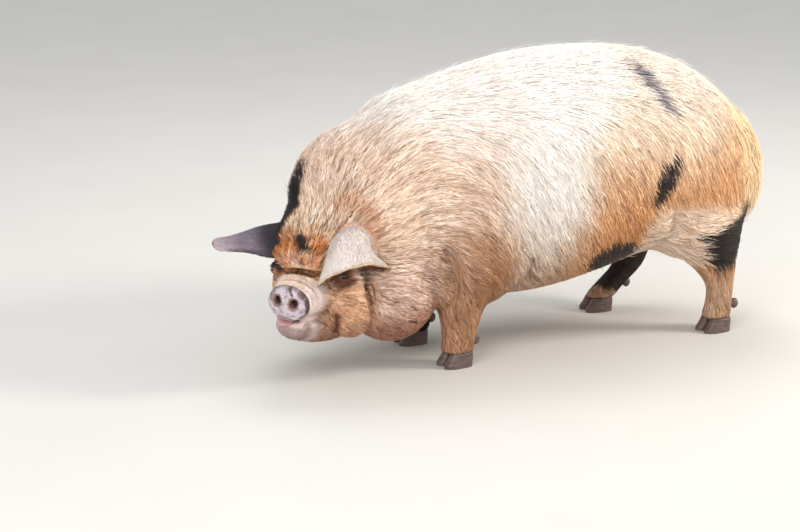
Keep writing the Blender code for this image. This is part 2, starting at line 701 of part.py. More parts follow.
def main():
    for old in list(bpy.data.objects):
        bpy.data.objects.remove(old)
    head = head_matrix()
    feet = {
        "leg_fore_left": (FORE_LEFT, 0.08),
        "leg_fore_right": (FORE_RIGHT, -0.06),
        "leg_hind_left": (HIND_LEFT, 0.06),
        "leg_hind_right": (HIND_RIGHT, -0.05),
    }
    legs = [leg_loft(stations) for stations, _ in feet.values()]
    core = fused("core", body_masses(head), 0.010, 16)
    flesh = fused("flesh", [core, *head_details(head), *legs], 0.0055, 5)
    pressed_folds(flesh, HEAD_FOLDS, head)
    pressed_folds(flesh, SNOUT_FOLDS, snout_matrix(head))
    pressed_folds(flesh, BODY_FOLDS)
    skin = thinned(flesh, "skin", SKIN_SHARE)
    floor_cut = region([(Vector((0, 0, LEG_BOTTOM)), Vector((0, 0, 1)))])
    skin = combined(skin, [floor_cut], "DIFFERENCE")
    skin = cut_face(skin, head)

    room, hooves = [], []
    for name, (stations, turn) in feet.items():
        made, needed = hoof_set(name.replace("leg", "foot"), stations, turn)
        hooves += made
        room += needed
    skin = coated(largest(combined(skin, room, "DIFFERENCE")), head)
    over = swollen(skin, GAP)
    tail = tube(TAIL_STATIONS)
    tail.name = "tail"
    ears = [ear_shell("ear_left", EAR_LEFT, head), ear_shell("ear_right", EAR_RIGHT, head)]
    tongue = tongue_body(head)
    whole = (tail, tongue, *ears)
    fitted = []
    for item in whole:
        room_round = [copied(over, "over"), copied(skin, "inner")]
        fitted.append(largest(combined(item, room_round, "DIFFERENCE")))
    bpy.data.objects.remove(over)

    nodes = {item.name: item for item in fitted + hooves}
    for side, place in ((1, "left"), (-1, "right")):
        eye = ellipsoid((side * EYE_SIDE, -0.006, -0.002), (EYE_RADIUS,) * 3, head, 14, 9)
        nodes[f"eye_{place}"] = eye

    front, rest = parted(skin, "head", [head_plane(head, (0, 0.135, 0), (0, 1, 0))])
    nodes["snout"], front = parted(front, "snout", [head_plane(head, (0, -0.099, 0), (0, 1, 0))])
    jaw_planes = [
        head_plane(snout_matrix(head), (0, -0.012, -0.0850), (0, 0.10, 1)),
        head_plane(head, (0, -0.032, -0.10), (0, 1, 0.4)),
    ]
    nodes["jaw"], nodes["head"] = parted(front, "jaw", jaw_planes)
    neck_planes = [(Vector((0, -0.385, 0.33)), Vector((0.17, 1.0, -0.12)))]
    nodes["neck"], rest = parted(rest, "neck", neck_planes)
    blocks = {
        "leg_fore_left": leg_planes(1, 0.060, -0.392, -0.185),
        "leg_fore_right": leg_planes(-1, 0.028, -0.400, -0.195),
        "leg_hind_left": leg_planes(1, 0.060, 0.170, 0.480),
        "leg_hind_right": leg_planes(-1, 0.060, 0.110, 0.480),
    }
    for name, planes in blocks.items():
        leg, rest = parted(rest, name, planes)
        lower = [(Vector((0, 0, LEG_CUT_HEIGHT)), Vector((0, 0, 1)))]
        nodes[name.replace("leg", "shank")], nodes[name] = parted(leg, "shank", lower)
    nodes["torso"] = rest

    for name, node in nodes.items():
        node.name = name
        node.data.name = name
        node.data.transform(Matrix.Translation(PLACE))
        painted(node, colour_of(name), 0.35 if "eye" in name else 0.85)


def tongue_body(head):
    tongue = ellipsoid((-0.007, -0.094, -0.0775), (0.017, 0.032, 0.0050), snout_matrix(head), 10, 5)
    tongue.name = "tongue"
    return tongue


def colour_of(name):
    for part, colour in COLOURS:
        if part in name:
            return colour
    return COAT_COLOUR


main()
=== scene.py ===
"""The dressed kunekune pig: one seamless skin, its coat, eyes and claws, on a pale floor in soft light."""

import json
import math

import bmesh
import bpy
import numpy as np
from mathutils import Matrix, Vector
from mathutils.bvhtree import BVHTree
from mathutils.kdtree import KDTree

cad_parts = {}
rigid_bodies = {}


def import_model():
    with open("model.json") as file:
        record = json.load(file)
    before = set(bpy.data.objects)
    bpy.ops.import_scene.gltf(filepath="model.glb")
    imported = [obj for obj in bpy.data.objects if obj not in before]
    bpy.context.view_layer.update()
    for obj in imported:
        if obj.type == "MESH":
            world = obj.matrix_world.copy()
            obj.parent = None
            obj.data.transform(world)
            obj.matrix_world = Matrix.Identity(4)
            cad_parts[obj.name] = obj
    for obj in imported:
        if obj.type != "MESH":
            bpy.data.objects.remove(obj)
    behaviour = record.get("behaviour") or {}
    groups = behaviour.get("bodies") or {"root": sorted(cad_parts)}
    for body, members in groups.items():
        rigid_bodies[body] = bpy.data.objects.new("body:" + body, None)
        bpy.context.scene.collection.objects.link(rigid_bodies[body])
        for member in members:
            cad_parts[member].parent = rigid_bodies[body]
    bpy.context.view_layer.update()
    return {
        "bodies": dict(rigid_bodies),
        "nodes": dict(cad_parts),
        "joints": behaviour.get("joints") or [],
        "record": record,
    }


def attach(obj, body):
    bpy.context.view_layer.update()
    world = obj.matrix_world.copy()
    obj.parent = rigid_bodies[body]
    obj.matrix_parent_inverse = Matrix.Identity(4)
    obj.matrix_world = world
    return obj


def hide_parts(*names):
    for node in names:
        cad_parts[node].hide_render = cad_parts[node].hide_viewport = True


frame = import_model()


def sided(side, place):
    """A place on the left or, where side is -1, the same on the right."""
    return (side * place[0], *place[1:])


def mirrored(line):
    return tuple(sided(-1, place) for place in line)


def arch(*half):
    """A line from the left up to the middle, and on to the same places on the right."""
    return half + mirrored(half[-2::-1])


def both_sides(*marks):
    """Each mark, a line with its values, and the same on the other side."""
    return tuple((path, *values) for line, *values in marks for path in (line, mirrored(line)))


def twins(centre, radii):
    """A rounded mass on the left and on the right."""
    return (centre, radii), (sided(-1, centre), radii)


# Torso stations from rump to throat: y, lowest z, highest z, half width, sideways shift.
TORSO_STATIONS = (
    (0.454, 0.29, 0.412, 0.066, 0.0),
    (0.424, 0.232, 0.474, 0.126, 0.0),
    (0.354, 0.204, 0.546, 0.182, 0.0),
    (0.26, 0.199, 0.608, 0.219, 0.0),
    (0.14, 0.179, 0.641, 0.24, 0.0),
    (0.0, 0.144, 0.647, 0.252, 0.0),
    (-0.12, 0.122, 0.639, 0.25, 0.0),
    (-0.24, 0.122, 0.616, 0.234, 0.0),
    (-0.35, 0.129, 0.59, 0.21, 0.008),
    (-0.45, 0.14, 0.564, 0.18, 0.02),
    (-0.53, 0.16, 0.502, 0.145, 0.035),
)
SECTION_POWER = 2.25
SECTION_SIDES = 32

# Each leg from the body down: x, y, z, half width, half depth.
FORE_LEFT = (
    (0.12, -0.27, 0.3, 0.095, 0.11),
    (0.132, -0.3, 0.2, 0.067, 0.092),
    (0.133, -0.322, 0.14, 0.047, 0.058),
    (0.132, -0.326, 0.09, 0.036, 0.042),
    (0.131, -0.329, 0.055, 0.033, 0.037),
    (0.13, -0.332, 0.03, 0.033, 0.038),
)
FORE_RIGHT = (
    (-0.11, -0.28, 0.3, 0.095, 0.11),
    (-0.1, -0.3, 0.2, 0.066, 0.08),
    (-0.085, -0.318, 0.14, 0.044, 0.052),
    (-0.076, -0.326, 0.09, 0.034, 0.038),
    (-0.072, -0.332, 0.055, 0.032, 0.036),
    (-0.07, -0.338, 0.03, 0.033, 0.038),
)
HIND_LEFT = (
    (0.13, 0.27, 0.36, 0.098, 0.14),
    (0.145, 0.27, 0.25, 0.075, 0.1),
    (0.148, 0.29, 0.19, 0.048, 0.076),
    (0.146, 0.315, 0.145, 0.036, 0.046),
    (0.144, 0.33, 0.1, 0.031, 0.03),
    (0.142, 0.329, 0.06, 0.03, 0.031),
    (0.14, 0.324, 0.03, 0.032, 0.035),
)
HIND_RIGHT = (
    (-0.13, 0.255, 0.36, 0.1, 0.15),
    (-0.145, 0.24, 0.25, 0.075, 0.112),
    (-0.145, 0.262, 0.19, 0.048, 0.072),
    (-0.142, 0.274, 0.145, 0.037, 0.046),
    (-0.138, 0.262, 0.1, 0.032, 0.037),
    (-0.134, 0.214, 0.06, 0.031, 0.035),
    (-0.13, 0.178, 0.03, 0.032, 0.036),
)
# Each foot with its leg and the turn of its claws.
FEET = (
    ("fore_left", FORE_LEFT, 0.08),
    ("fore_right", FORE_RIGHT, -0.06),
    ("hind_left", HIND_LEFT, 0.06),
    ("hind_right", HIND_RIGHT, -0.05),
)
# A claw from the sole up: z, how far it lies forward, half width, half length.
CLAW_ROWS = (
    (0.0, 0.006, 0.016, 0.0335),
    (0.008, 0.005, 0.0162, 0.0325),
    (0.02, 0.0, 0.0153, 0.0288),
    (0.0315, -0.003, 0.0142, 0.0256),
)

# The head's own frame starts midway between the eyes: -Y out of the snout, +X to the pig's left.
EYE_MIDPOINT = Vector((0.096, -0.655, 0.238))
HEAD_YAW = math.radians(40.0)
HEAD_PITCH = math.radians(8.0)
SNOUT_ROLL = math.radians(8.0)
SNOUT_AXIS_HEIGHT = -0.031

# Muzzle and jaw stations from the brow forwards: y, centre z, half width, half height.
MUZZLE_STATIONS = (
    (0.05, -0.036, 0.078, 0.056),
    (0.0, -0.036, 0.071, 0.047),
    (-0.04, -0.036, 0.06, 0.044),
    (-0.08, -0.033, 0.049, 0.041),
    (-0.104, -0.032, 0.044, 0.038),
)
JAW_STATIONS = (
    (0.07, -0.118, 0.076, 0.062),
    (0.02, -0.114, 0.066, 0.054),
    (-0.025, -0.108, 0.054, 0.044),
    (-0.06, -0.101, 0.043, 0.035),
    (-0.088, -0.095, 0.035, 0.027),
    (-0.107, -0.089, 0.026, 0.016),
)
DISC_CENTRE = Vector((0.0, -0.113, -0.031))
DISC_RADII = (0.0455, 0.015, 0.0385)

# An eye and its gaze in the head's frame. A nostril, the rim round it and the tongue in the snout's.
EYE_RADIUS = 0.0115
EYE_CENTRE = (0.0765, -0.006, -0.002)
EYE_GAZE = (0.72, -0.66, 0.14)
NOSTRIL_CENTRE = (0.018, -0.128, -0.024)
NOSTRIL_RADII = (0.008, 0.021, 0.0108)
NOSTRIL_RIM = (0.0105, 0.02, 0.013)
NOSTRIL_TURN = 0.35
TONGUE_CENTRE = (-0.009, -0.092, -0.078)
TONGUE_RADII = (0.0155, 0.03, 0.0046)
# The open mouth from front to rear, in the snout's frame: y, half height, z. Its sides rise with the square of x.
MOUTH_STATIONS = (
    (-0.15, 0.0075, -0.0745),
    (-0.104, 0.006, -0.0745),
    (-0.074, 0.0032, -0.077),
    (-0.036, 0.0012, -0.082),
)
MOUTH_RISE = 1.6
# The skin ends at this height, above the claws, and the whole is centred by this shift.
LEG_BOTTOM = 0.03
PLACE = Vector((-0.0006, 0.1763, 0.0))

# Rounded masses, each a centre with radii: of the trunk in the world frame, of skull and face in the head's.
TRUNK_MASSES = (
    *twins((0.112, -0.29, 0.33), (0.122, 0.15, 0.212)),
    *twins((0.106, 0.262, 0.345), (0.12, 0.145, 0.178)),
    ((0.045, -0.5, 0.335), (0.16, 0.14, 0.17)),
    ((0.012, -0.488, 0.385), (0.14, 0.165, 0.136)),
    ((0.06, -0.49, 0.195), (0.14, 0.12, 0.1)),
)
SKULL_MASSES = (
    ((0.0, 0.08, 0.03), (0.108, 0.1, 0.105)),
    ((0.111, 0.138, -0.08), (0.104, 0.115, 0.116)),
    ((-0.06, 0.148, -0.062), (0.078, 0.1, 0.104)),
)
FACE_MASSES = (
    ((0.0, 0.032, 0.052), (0.08, 0.05, 0.06)),
    ((0.0, -0.014, 0.034), (0.072, 0.036, 0.028)),
    *twins((0.06, 0.014, -0.004), (0.032, 0.036, 0.034)),
    ((0.074, 0.022, -0.086), (0.047, 0.06, 0.062)),
    ((0.07, 0.022, -0.046), (0.044, 0.052, 0.05)),
    ((-0.062, 0.03, -0.046), (0.04, 0.048, 0.048)),
    ((-0.06, 0.032, -0.084), (0.044, 0.058, 0.06)),
    ((0.0, -0.03, -0.012), (0.052, 0.036, 0.024)),
)

# Ears as patches of control points in the head's frame: rows run root to rim, columns front to rear.
EAR_LEFT = (
    ((0.066, 0.034, 0.082), (0.082, 0.036, 0.093), (0.098, 0.048, 0.094),
     (0.11, 0.067, 0.083), (0.111, 0.087, 0.062)),
    ((0.056, -0.004, 0.067), (0.082, -0.01, 0.087), (0.107, 0.003, 0.09),
     (0.123, 0.028, 0.075), (0.121, 0.06, 0.05)),
    ((0.053, -0.033, 0.035), (0.08, -0.042, 0.063), (0.111, -0.027, 0.069),
     (0.13, 0.002, 0.056), (0.13, 0.039, 0.031)),
    ((0.046, -0.062, -0.002), (0.081, -0.065, 0.026), (0.116, -0.047, 0.04),
     (0.146, -0.014, 0.038), (0.156, 0.03, 0.016)),
    ((0.047, -0.07, -0.004), (0.083, -0.074, 0.024), (0.121, -0.056, 0.038),
     (0.154, -0.023, 0.035), (0.167, 0.025, 0.014)),
)
EAR_RIGHT = (
    ((-0.053, -0.012, 0.022), (-0.065, 0.004, 0.042), (-0.078, 0.028, 0.06),
     (-0.085, 0.058, 0.07), (-0.084, 0.088, 0.066)),
    ((-0.088, -0.026, 0.029), (-0.102, -0.019, 0.049), (-0.117, -0.001, 0.065),
     (-0.127, 0.023, 0.071), (-0.128, 0.047, 0.06)),
    ((-0.127, -0.044, 0.042), (-0.137, -0.041, 0.054), (-0.149, -0.028, 0.063),
     (-0.156, -0.012, 0.065), (-0.154, 0.006, 0.055)),
    ((-0.174, -0.064, 0.047), (-0.184, -0.066, 0.054), (-0.191, -0.061, 0.06),
     (-0.194, -0.051, 0.065), (-0.186, -0.038, 0.065)),
)
# The thickness of an ear's sheet, and how far from the ear's middle points are measured against it.
EAR_THICKNESS = 0.0043
EAR_REACH = 0.16
# Which face of each ear's sheet is its outer side.
EAR_OUTWARD = (-1.0, 1.0)
# The root of the near ear, where the coat is browner, and places behind each ear where it stands up.
EAR_ROOT = ((0.062, 0.031, 0.137), (0.092, 0.034, 0.146), (0.12, 0.032, 0.127), (0.138, 0.03, 0.092))
EAR_CRESTS = ((0.098, 0.07, 0.118), (-0.085, 0.08, 0.11))

# Folds pressed into the skin of the head, in its own frame, with their depth and half width.
HEAD_FOLDS = (
    (arch((0.064, -0.022, -0.008), (0.042, -0.042, 0.008), (0.0, -0.047, 0.012)), 0.013, 0.006),
    (arch((0.034, -0.03, 0.058), (0.0, -0.034, 0.066)), 0.005, 0.007),
    (((0.108, 0.036, -0.03), (0.118, 0.036, -0.06), (0.118, 0.04, -0.1)), 0.01, 0.008),
    (((0.06, -0.038, -0.078), (0.058, -0.034, -0.104), (0.058, -0.02, -0.13)), 0.01, 0.006),
    (((-0.056, -0.036, -0.078), (-0.056, -0.03, -0.104), (-0.056, -0.016, -0.13)), 0.01, 0.006),
)
# Folds round the muzzle, in the snout's frame.
SNOUT_FOLDS = (
    (arch((0.056, -0.088, -0.05), (0.046, -0.09, -0.008), (0.0, -0.092, 0.012)), 0.0035, 0.005),
    (arch((0.058, -0.07, -0.05), (0.046, -0.072, -0.004), (0.0, -0.074, 0.016)), 0.003, 0.005),
)
# Folds of the body, in the world frame.
BODY_FOLDS = (
    (((0.19, -0.4, 0.3), (0.215, -0.385, 0.23), (0.2, -0.38, 0.15), (0.15, -0.385, 0.12)), 0.014, 0.012),
    (((0.215, -0.19, 0.24), (0.2, -0.185, 0.19), (0.15, -0.19, 0.16)), 0.012, 0.014),
    (((-0.215, -0.2, 0.24), (-0.2, -0.195, 0.19), (-0.15, -0.2, 0.16)), 0.012, 0.014),
    (((0.232, 0.15, 0.35), (0.215, 0.17, 0.27), (0.18, 0.19, 0.225)), 0.01, 0.016),
    (((-0.232, 0.13, 0.35), (-0.215, 0.14, 0.27), (-0.18, 0.14, 0.225)), 0.01, 0.016),
    (((0.0, 0.45, 0.36), (0.0, 0.44, 0.3), (0.0, 0.41, 0.24)), 0.018, 0.012),
)

# Tail from the root down: x, y, z, radius.
TAIL_STATIONS = (
    (0.0, 0.398, 0.44, 0.017),
    (0.003, 0.438, 0.432, 0.015),
    (0.008, 0.464, 0.402, 0.012),
    (0.012, 0.468, 0.362, 0.01),
    (0.01, 0.465, 0.326, 0.008),
    (0.004, 0.463, 0.3, 0.005),
)

# How far the skin lies inside the solids, the fineness of its core and its own, and the share of faces kept.
SKIN_INSET = 0.0015
CORE_VOXEL = 0.01
SKIN_VOXEL = 0.0042
SKIN_KEPT = 0.4

# Tufts in all and in one piece, and the lines along the coat that they gather to.
TUFT_SEED = 5
TUFT_COUNT = 232000
PIECE_TUFTS = 32500
SHEAF_COUNT = 21000
SHEAF_STEPS = 14
# The side of a tuft's patch on the UV map.
PATCH = 0.003
# Tone at the two sides, the ridge and the tip of a tuft, with the shares of brown and cream on the brow: the
# darker roots and the brown are partly painted shade between the hairs, the cream partly a painted highlight on
# their tips.
TUFT_LEVELS = ((-0.03, 0.14, 0.0), (-0.03, 0.14, 0.0), (0.0, 0.02, 0.0), (0.05, 0.0, 0.38))
# How strongly red, green and blue follow the tone.
TONE_POWERS = (0.9, 1.12, 1.3)

# Lashes of the left and right eye: side, shortest and longest.
LASH_LENGTHS = ((1, 0.006, 0.011), (-1, 0.0008, 0.0018))
LASH_COUNT = 46
LASH_THICK = 0.00032

# Markings, each a line with a radius: world frame before the part is centred.
BLACK_LINES = (
    (((0.241, 0.12, 0.402), (0.24, 0.106, 0.372)), 0.0225, 1.0),
    (((0.24, 0.132, 0.424), (0.239, 0.092, 0.346)), 0.015, 1.0),
    (((0.219, 0.232, 0.232), (0.212, 0.3, 0.232)), 0.016, 1.0),
)
GREY_LINES = (
    (((0.14, 0.094, 0.608), (0.178, 0.108, 0.58), (0.205, 0.128, 0.545)), 0.015, 0.9),
    (((0.115, 0.086, 0.622), (0.178, 0.108, 0.58), (0.214, 0.144, 0.524)), 0.0085, 0.9),
    (((0.135, 0.068, 0.607), (0.185, 0.084, 0.576)), 0.004, 0.7),
)
# Markings, each a centre with radii.
BLACK_BLOBS = (
    ((0.195, 0.313, 0.211), (0.1, 0.066, 0.057), 1.0),
    ((0.205, 0.35, 0.262), (0.08, 0.034, 0.05), 1.0),
    ((0.19, 0.02, 0.21), (0.09, 0.068, 0.046), 0.9),
    ((-0.14, 0.245, 0.15), (0.08, 0.11, 0.125), 0.92),
    ((-0.085, -0.325, 0.1), (0.06, 0.07, 0.125), 1.0),
    ((-0.19, -0.04, 0.5), (0.09, 0.046, 0.08), 0.95),
    ((-0.235, 0.19, 0.33), (0.09, 0.036, 0.07), 0.95),
)
# Black marks of the head, in its own frame.
HEAD_BLACK = (
    (((-0.085, 0.05, 0.08), (-0.095, 0.06, 0.12), (-0.085, 0.062, 0.19)), 0.05, 1.0),
    (((-0.075, -0.001, 0.025), (-0.08, 0.006, 0.034), (-0.094, 0.03, 0.06)), 0.031, 1.0),
    (((-0.012, -0.016, 0.07), (0.0, -0.026, 0.062), (0.01, -0.034, 0.052)), 0.011, 0.95),
    (((0.106, 0.026, 0.0), (0.111, 0.024, -0.02), (0.114, 0.026, -0.036)), 0.0045, 0.85),
)

TAN = (0.855, 0.735, 0.645)
TAN_LOW = (0.74, 0.57, 0.44)
PALE = (0.925, 0.862, 0.812)
CREAM = (0.935, 0.908, 0.88)
ORANGE = (0.84, 0.6, 0.41)
ORANGE_LOW = (0.75, 0.505, 0.31)
PEACH = (0.905, 0.81, 0.715)
# Painted light: the pale yellow where the light from behind falls on the rear of the rump.
RUMP_LIGHT_YELLOW = (0.985, 0.838, 0.66)
GINGER = (0.6, 0.4, 0.26)
BLACK = (0.15, 0.12, 0.11)
FACE_ORANGE = (0.865, 0.5, 0.24)
FACE_STRAW = (0.98, 0.815, 0.69)
FACE_BAND = (0.94, 0.69, 0.43)
# Brown of the roots on the brow, partly painted shade between the hairs.
ROOT_SHADE_BROWN = (0.33, 0.145, 0.065)
# Cream of the tips on the brow, partly a painted highlight.
TIP_HIGHLIGHT_CREAM = (0.99, 0.885, 0.765)
# The brown of the painted shade in the face's folds and creases.
FOLD_SHADE_BROWN = (0.36, 0.19, 0.11)
MUZZLE_GREY = (0.885, 0.8, 0.77)
BRIDGE_TAN = (0.905, 0.78, 0.69)
# The chin's grey skin, darkened as painted shade under the snout.
CHIN_GREY_SHADED = (0.57, 0.475, 0.465)
DISC_LILAC = (0.75, 0.7, 0.73)
CHEEK = (0.82, 0.625, 0.48)
JOWL = (0.8, 0.67, 0.6)
JOWL_LOW = (0.66, 0.47, 0.38)
EAR_PALE = (0.9, 0.85, 0.825)
EAR_RIM = (0.9, 0.78, 0.64)
# Painted shade on the inside of the near ear, which hangs over the eye.
EAR_INSIDE_SHADE = (0.4, 0.265, 0.195)
EAR_BLACK = (0.2, 0.175, 0.195)
# A painted sheen on the black far ear, grey and then lilac towards its tip.
EAR_SHEEN_GREY = (0.5, 0.46, 0.52)
EAR_SHEEN_LILAC = (0.74, 0.66, 0.68)
TAIL_TAN = (0.78, 0.59, 0.46)
TAIL_DARK = (0.33, 0.22, 0.17)
SHANK = (0.74, 0.6, 0.49)
FOLD_GREY = (0.95, 0.845, 0.765)
STREAK_GREY = (0.43, 0.4, 0.43)
PINK_SKIN = (0.86, 0.64, 0.56)
LIP_PINK = (0.78, 0.61, 0.62)
# Painted shade in the groove of the mouth.
MOUTH_SHADE = (0.27, 0.18, 0.16)
# Painted shade in the recess round each eye.
SOCKET_SHADE = (0.42, 0.27, 0.2)
EAR_ROOT_TAN = (0.74, 0.5, 0.34)
EAR_DARK_INSIDE = (0.26, 0.2, 0.21)
DISC_MOTTLE = (0.38, 0.31, 0.32)
# Painted shade in the groove round the rim of the disc.
DISC_RIM_SHADE = (0.3, 0.24, 0.24)
# The dark of the disc's lines: painted shade in its creases and along its rim, and its own dark marks.
DISC_CREASE_AND_MARK_DARK = (0.24, 0.17, 0.16)
NOSTRIL_TAN = (0.52, 0.39, 0.34)
NOSTRIL_BROWN = (0.3, 0.21, 0.19)
# Painted shadow deep inside the nostrils.
NOSTRIL_SHADOW = (0.12, 0.07, 0.06)
LASH_PALE = (0.8, 0.66, 0.54)
EYE_PUPIL = (0.052, 0.036, 0.03)
EYE_IRIS = (0.24, 0.125, 0.065)
EYE_RIM = (0.085, 0.05, 0.035)
EYE_WHITE = (0.6, 0.5, 0.46)
HORN_BROWN = (0.36, 0.295, 0.275)
TONGUE_PINK = (0.8, 0.6, 0.62)
FLOOR_GREY = (0.8, 0.79, 0.77)
# How much darker than its hair the skin below the coat is painted, for red, green and blue: partly the skin's own
# tint, partly painted shade in the gaps between the hairs.
UNDER_COAT_SHADE = (0.88, 0.78, 0.7)

# The lower lip, and the line where the jaw meets the upper lip, in the snout's frame.
LIP_LINE = ((0.024, -0.1, -0.076), (0.0, -0.11, -0.078), (-0.028, -0.1, -0.076))
MOUTH_LINE = ((0.03, -0.1, -0.073), (0.046, -0.072, -0.075), (0.054, -0.046, -0.079), (0.058, -0.034, -0.082))
# Finer wrinkles of the muzzle, in the snout's frame, with their depth and half width.
SNOUT_WRINKLES = (
    *both_sides((MOUTH_LINE, 0.004, 0.004)),
    (
        arch((0.05, -0.097, -0.05), (0.05, -0.099, -0.015), (0.03, -0.101, 0.004), (0.0, -0.102, 0.009))[:-1],
        0.003,
        0.003,
    ),
    (((0.054, -0.074, -0.03), (0.046, -0.084, -0.006), (0.0, -0.085, 0.012),
      (-0.036, -0.08, 0.002)), 0.0012, 0.0036),
    (((0.048, -0.066, -0.006), (0.01, -0.062, 0.013), (-0.026, -0.066, 0.012)), 0.0014, 0.004),
    (((0.006, -0.13, 0.004), (0.004, -0.131, -0.014), (0.001, -0.131, -0.022)), 0.0022, 0.003),
    (arch((-0.028, -0.126, -0.054), (0.0, -0.13, -0.06)), 0.0014, 0.0028),
    (((0.002, -0.129, -0.06), (0.001, -0.126, -0.068)), 0.0022, 0.0022),
)
# Finer wrinkles of the face, in the head's frame.
FACE_WRINKLES = (
    *both_sides(
        (((0.05, -0.044, -0.004), (0.06, -0.03, -0.02), (0.064, -0.02, -0.04)), 0.004, 0.0045),
        (((0.054, -0.03, -0.018), (0.074, -0.026, -0.024), (0.096, -0.006, -0.02)), 0.0036, 0.0036),
    ),
    (((0.06, -0.03, -0.03), (0.078, -0.026, -0.036), (0.096, -0.008, -0.034)), 0.0024, 0.0036),
    *both_sides((((0.058, -0.024, 0.014), (0.078, -0.02, 0.018), (0.096, -0.004, 0.012)), 0.0036, 0.0036)),
    (arch((0.036, -0.04, 0.034), (0.0, -0.048, 0.038)), 0.0028, 0.005),
    (arch((0.026, -0.024, 0.082), (0.0, -0.024, 0.088)), 0.0026, 0.006),
    (((0.02, -0.044, 0.03), (0.026, -0.034, 0.052), (0.022, -0.026, 0.07)), 0.0024, 0.005),
)
# Painted shade along the folds and creases of the face and under the near ear, each a path with its reach and
# strength, in the head's frame.
FACE_PAINTED_SHADES = (
    (((-0.061, -0.021, 0.001), (-0.011, -0.037, 0.006), (0.02, -0.037, 0.002),
      (0.05, -0.045, 0.01)), 0.012, 0.85),
    (((0.049, -0.016, 0.055), (0.052, -0.034, 0.036), (0.051, -0.046, 0.019)), 0.013, 0.7),
    (((0.104, 0.028, -0.03), (0.115, 0.026, -0.047), (0.12, 0.029, -0.077)), 0.009, 0.7),
    *both_sides((((0.071, -0.036, -0.083), (0.066, -0.029, -0.107), (0.048, -0.01, -0.135)), 0.013, 0.85)),
    (((0.054, -0.03, -0.018), (0.074, -0.026, -0.024), (0.098, 0.002, -0.016)), 0.008, 0.6),
    (((0.06, -0.03, 0.006), (0.078, -0.022, 0.014), (0.098, 0.006, 0.01)), 0.009, 0.7),
    (((-0.054, -0.03, -0.018), (-0.074, -0.026, -0.024), (-0.098, 0.002, -0.016)), 0.008, 0.6),
    (((0.106, 0.028, 0.006), (0.126, 0.036, 0.005), (0.144, 0.044, 0.006)), 0.015, 0.85),
)
# Dark lines of the nose disc, in the snout's frame: painted shade in its creases and along its rim, and some of
# its own dark marks.
DISC_CREASE_AND_MARK_LINES = (
    (((0.004, 0, 0.006), (0.009, 0, 0.0), (0.014, 0, -0.006)), 0.004, 0.75),
    (((0.026, 0, 0.0), (0.032, 0, -0.008)), 0.007, 0.5),
    (((0.03, 0, 0.001), (0.041, 0, -0.011), (0.045, 0, -0.028), (0.043, 0, -0.048)), 0.0042, 0.85),
    (((-0.028, 0, -0.008), (-0.034, 0, -0.022)), 0.006, 0.4),
    (((-0.014, 0, -0.058), (0.016, 0, -0.061)), 0.0045, 0.4),
)
BODY_WRINKLES = (
    (((0.205, -0.44, 0.33), (0.214, -0.43, 0.27), (0.19, -0.43, 0.2)), 0.006, 0.01),
    (((0.243, -0.215, 0.42), (0.236, -0.2, 0.33), (0.222, -0.19, 0.26)), 0.005, 0.014),
    (((0.215, 0.215, 0.3), (0.2, 0.222, 0.25), (0.17, 0.226, 0.215)), 0.006, 0.01),
    (((0.185, 0.42, 0.3), (0.17, 0.395, 0.24), (0.16, 0.37, 0.2)), 0.004, 0.01),
)


def ear_grid(rows, across_steps, long_steps):
    """An ear's sheet as a grid of points, with the way along it at each and the normals."""
    grid = smooth_rows(np.array([smooth_rows(row, across_steps) for row in rows]), long_steps)
    long_way, wide_way = np.gradient(grid, axis=0), np.gradient(grid, axis=1)
    return grid, unit(long_way), unit(np.cross(wide_way, long_way))


def ear_shell(name, rows):
    """A cupped sheet through the rows of control points, thickest at the root, with a soft rim."""
    grid, _, normals = ear_grid(rows, 10, 12)
    steps_long, steps_wide = grid.shape[:2]
    u = np.linspace(0, 1, steps_long)[:, None]
    v = np.linspace(-1, 1, steps_wide)[None, :]
    edge = np.clip(np.minimum((1 - u) * 26, (1 - np.abs(v)) * 17), 0, 1)
    rounding = np.sqrt(1 - (1 - edge) ** 2) * 0.8 + 0.2
    half = 0.5 * EAR_THICKNESS * (1.25 - 0.62 * u) * rounding
    ripple = 0.0011 * np.sin(u * 9 + v * 5) * u + 0.0008 * np.sin(v * 13 - u * 7) * u
    grid = grid + normals * ripple[:, :, None]
    shape = bmesh.new()
    sheets = []
    for thickness in (half, -half):
        sheet = grid + normals * thickness[:, :, None]
        sheets.append([[shape.verts.new(HEAD @ Vector(p)) for p in row] for row in sheet])
    top, bottom = sheets
    for i in range(steps_long - 1):
        for j in range(steps_wide - 1):
            shape.faces.new((top[i][j], top[i + 1][j], top[i + 1][j + 1], top[i][j + 1]))
            shape.faces.new((bottom[i][j], bottom[i][j + 1], bottom[i + 1][j + 1], bottom[i + 1][j]))
    border = [(i, 0) for i in range(steps_long)]
    border += [(steps_long - 1, j) for j in range(1, steps_wide)]
    border += [(i, steps_wide - 1) for i in range(steps_long - 2, -1, -1)]
    border += [(0, j) for j in range(steps_wide - 2, 0, -1)]
    for (i, j), (k, m) in zip(border, border[1:] + border[:1]):
        shape.faces.new((top[i][j], bottom[i][j], bottom[k][m], top[k][m]))
    return closed(name, shape)


def claw_body(x, y, side, turn):
    """One hoof claw standing on the floor: a flat sole, a sloping front wall and a flat inner side."""
    rings = []
    spin = Matrix.Rotation(turn, 4, "Z")
    for z, forward, half_width, half_length in smooth_rows(CLAW_ROWS, 6):
        ring = []
        ridge = 0.0003 * math.sin(z * 1500)
        for a, b in section(half_width + ridge, half_length + ridge, 2.4, 48):
            a = max(a, -half_width * 0.82) if side > 0 else min(a, half_width * 0.82)
            spread = side * (0.0155 + 0.1 * max(0.0, forward - b) * 0.2)
            ring.append(Vector((x, y, z)) + spin @ Vector((spread + a, b - forward, 0.0)))
        rings.append(ring)
    return loft(rings)


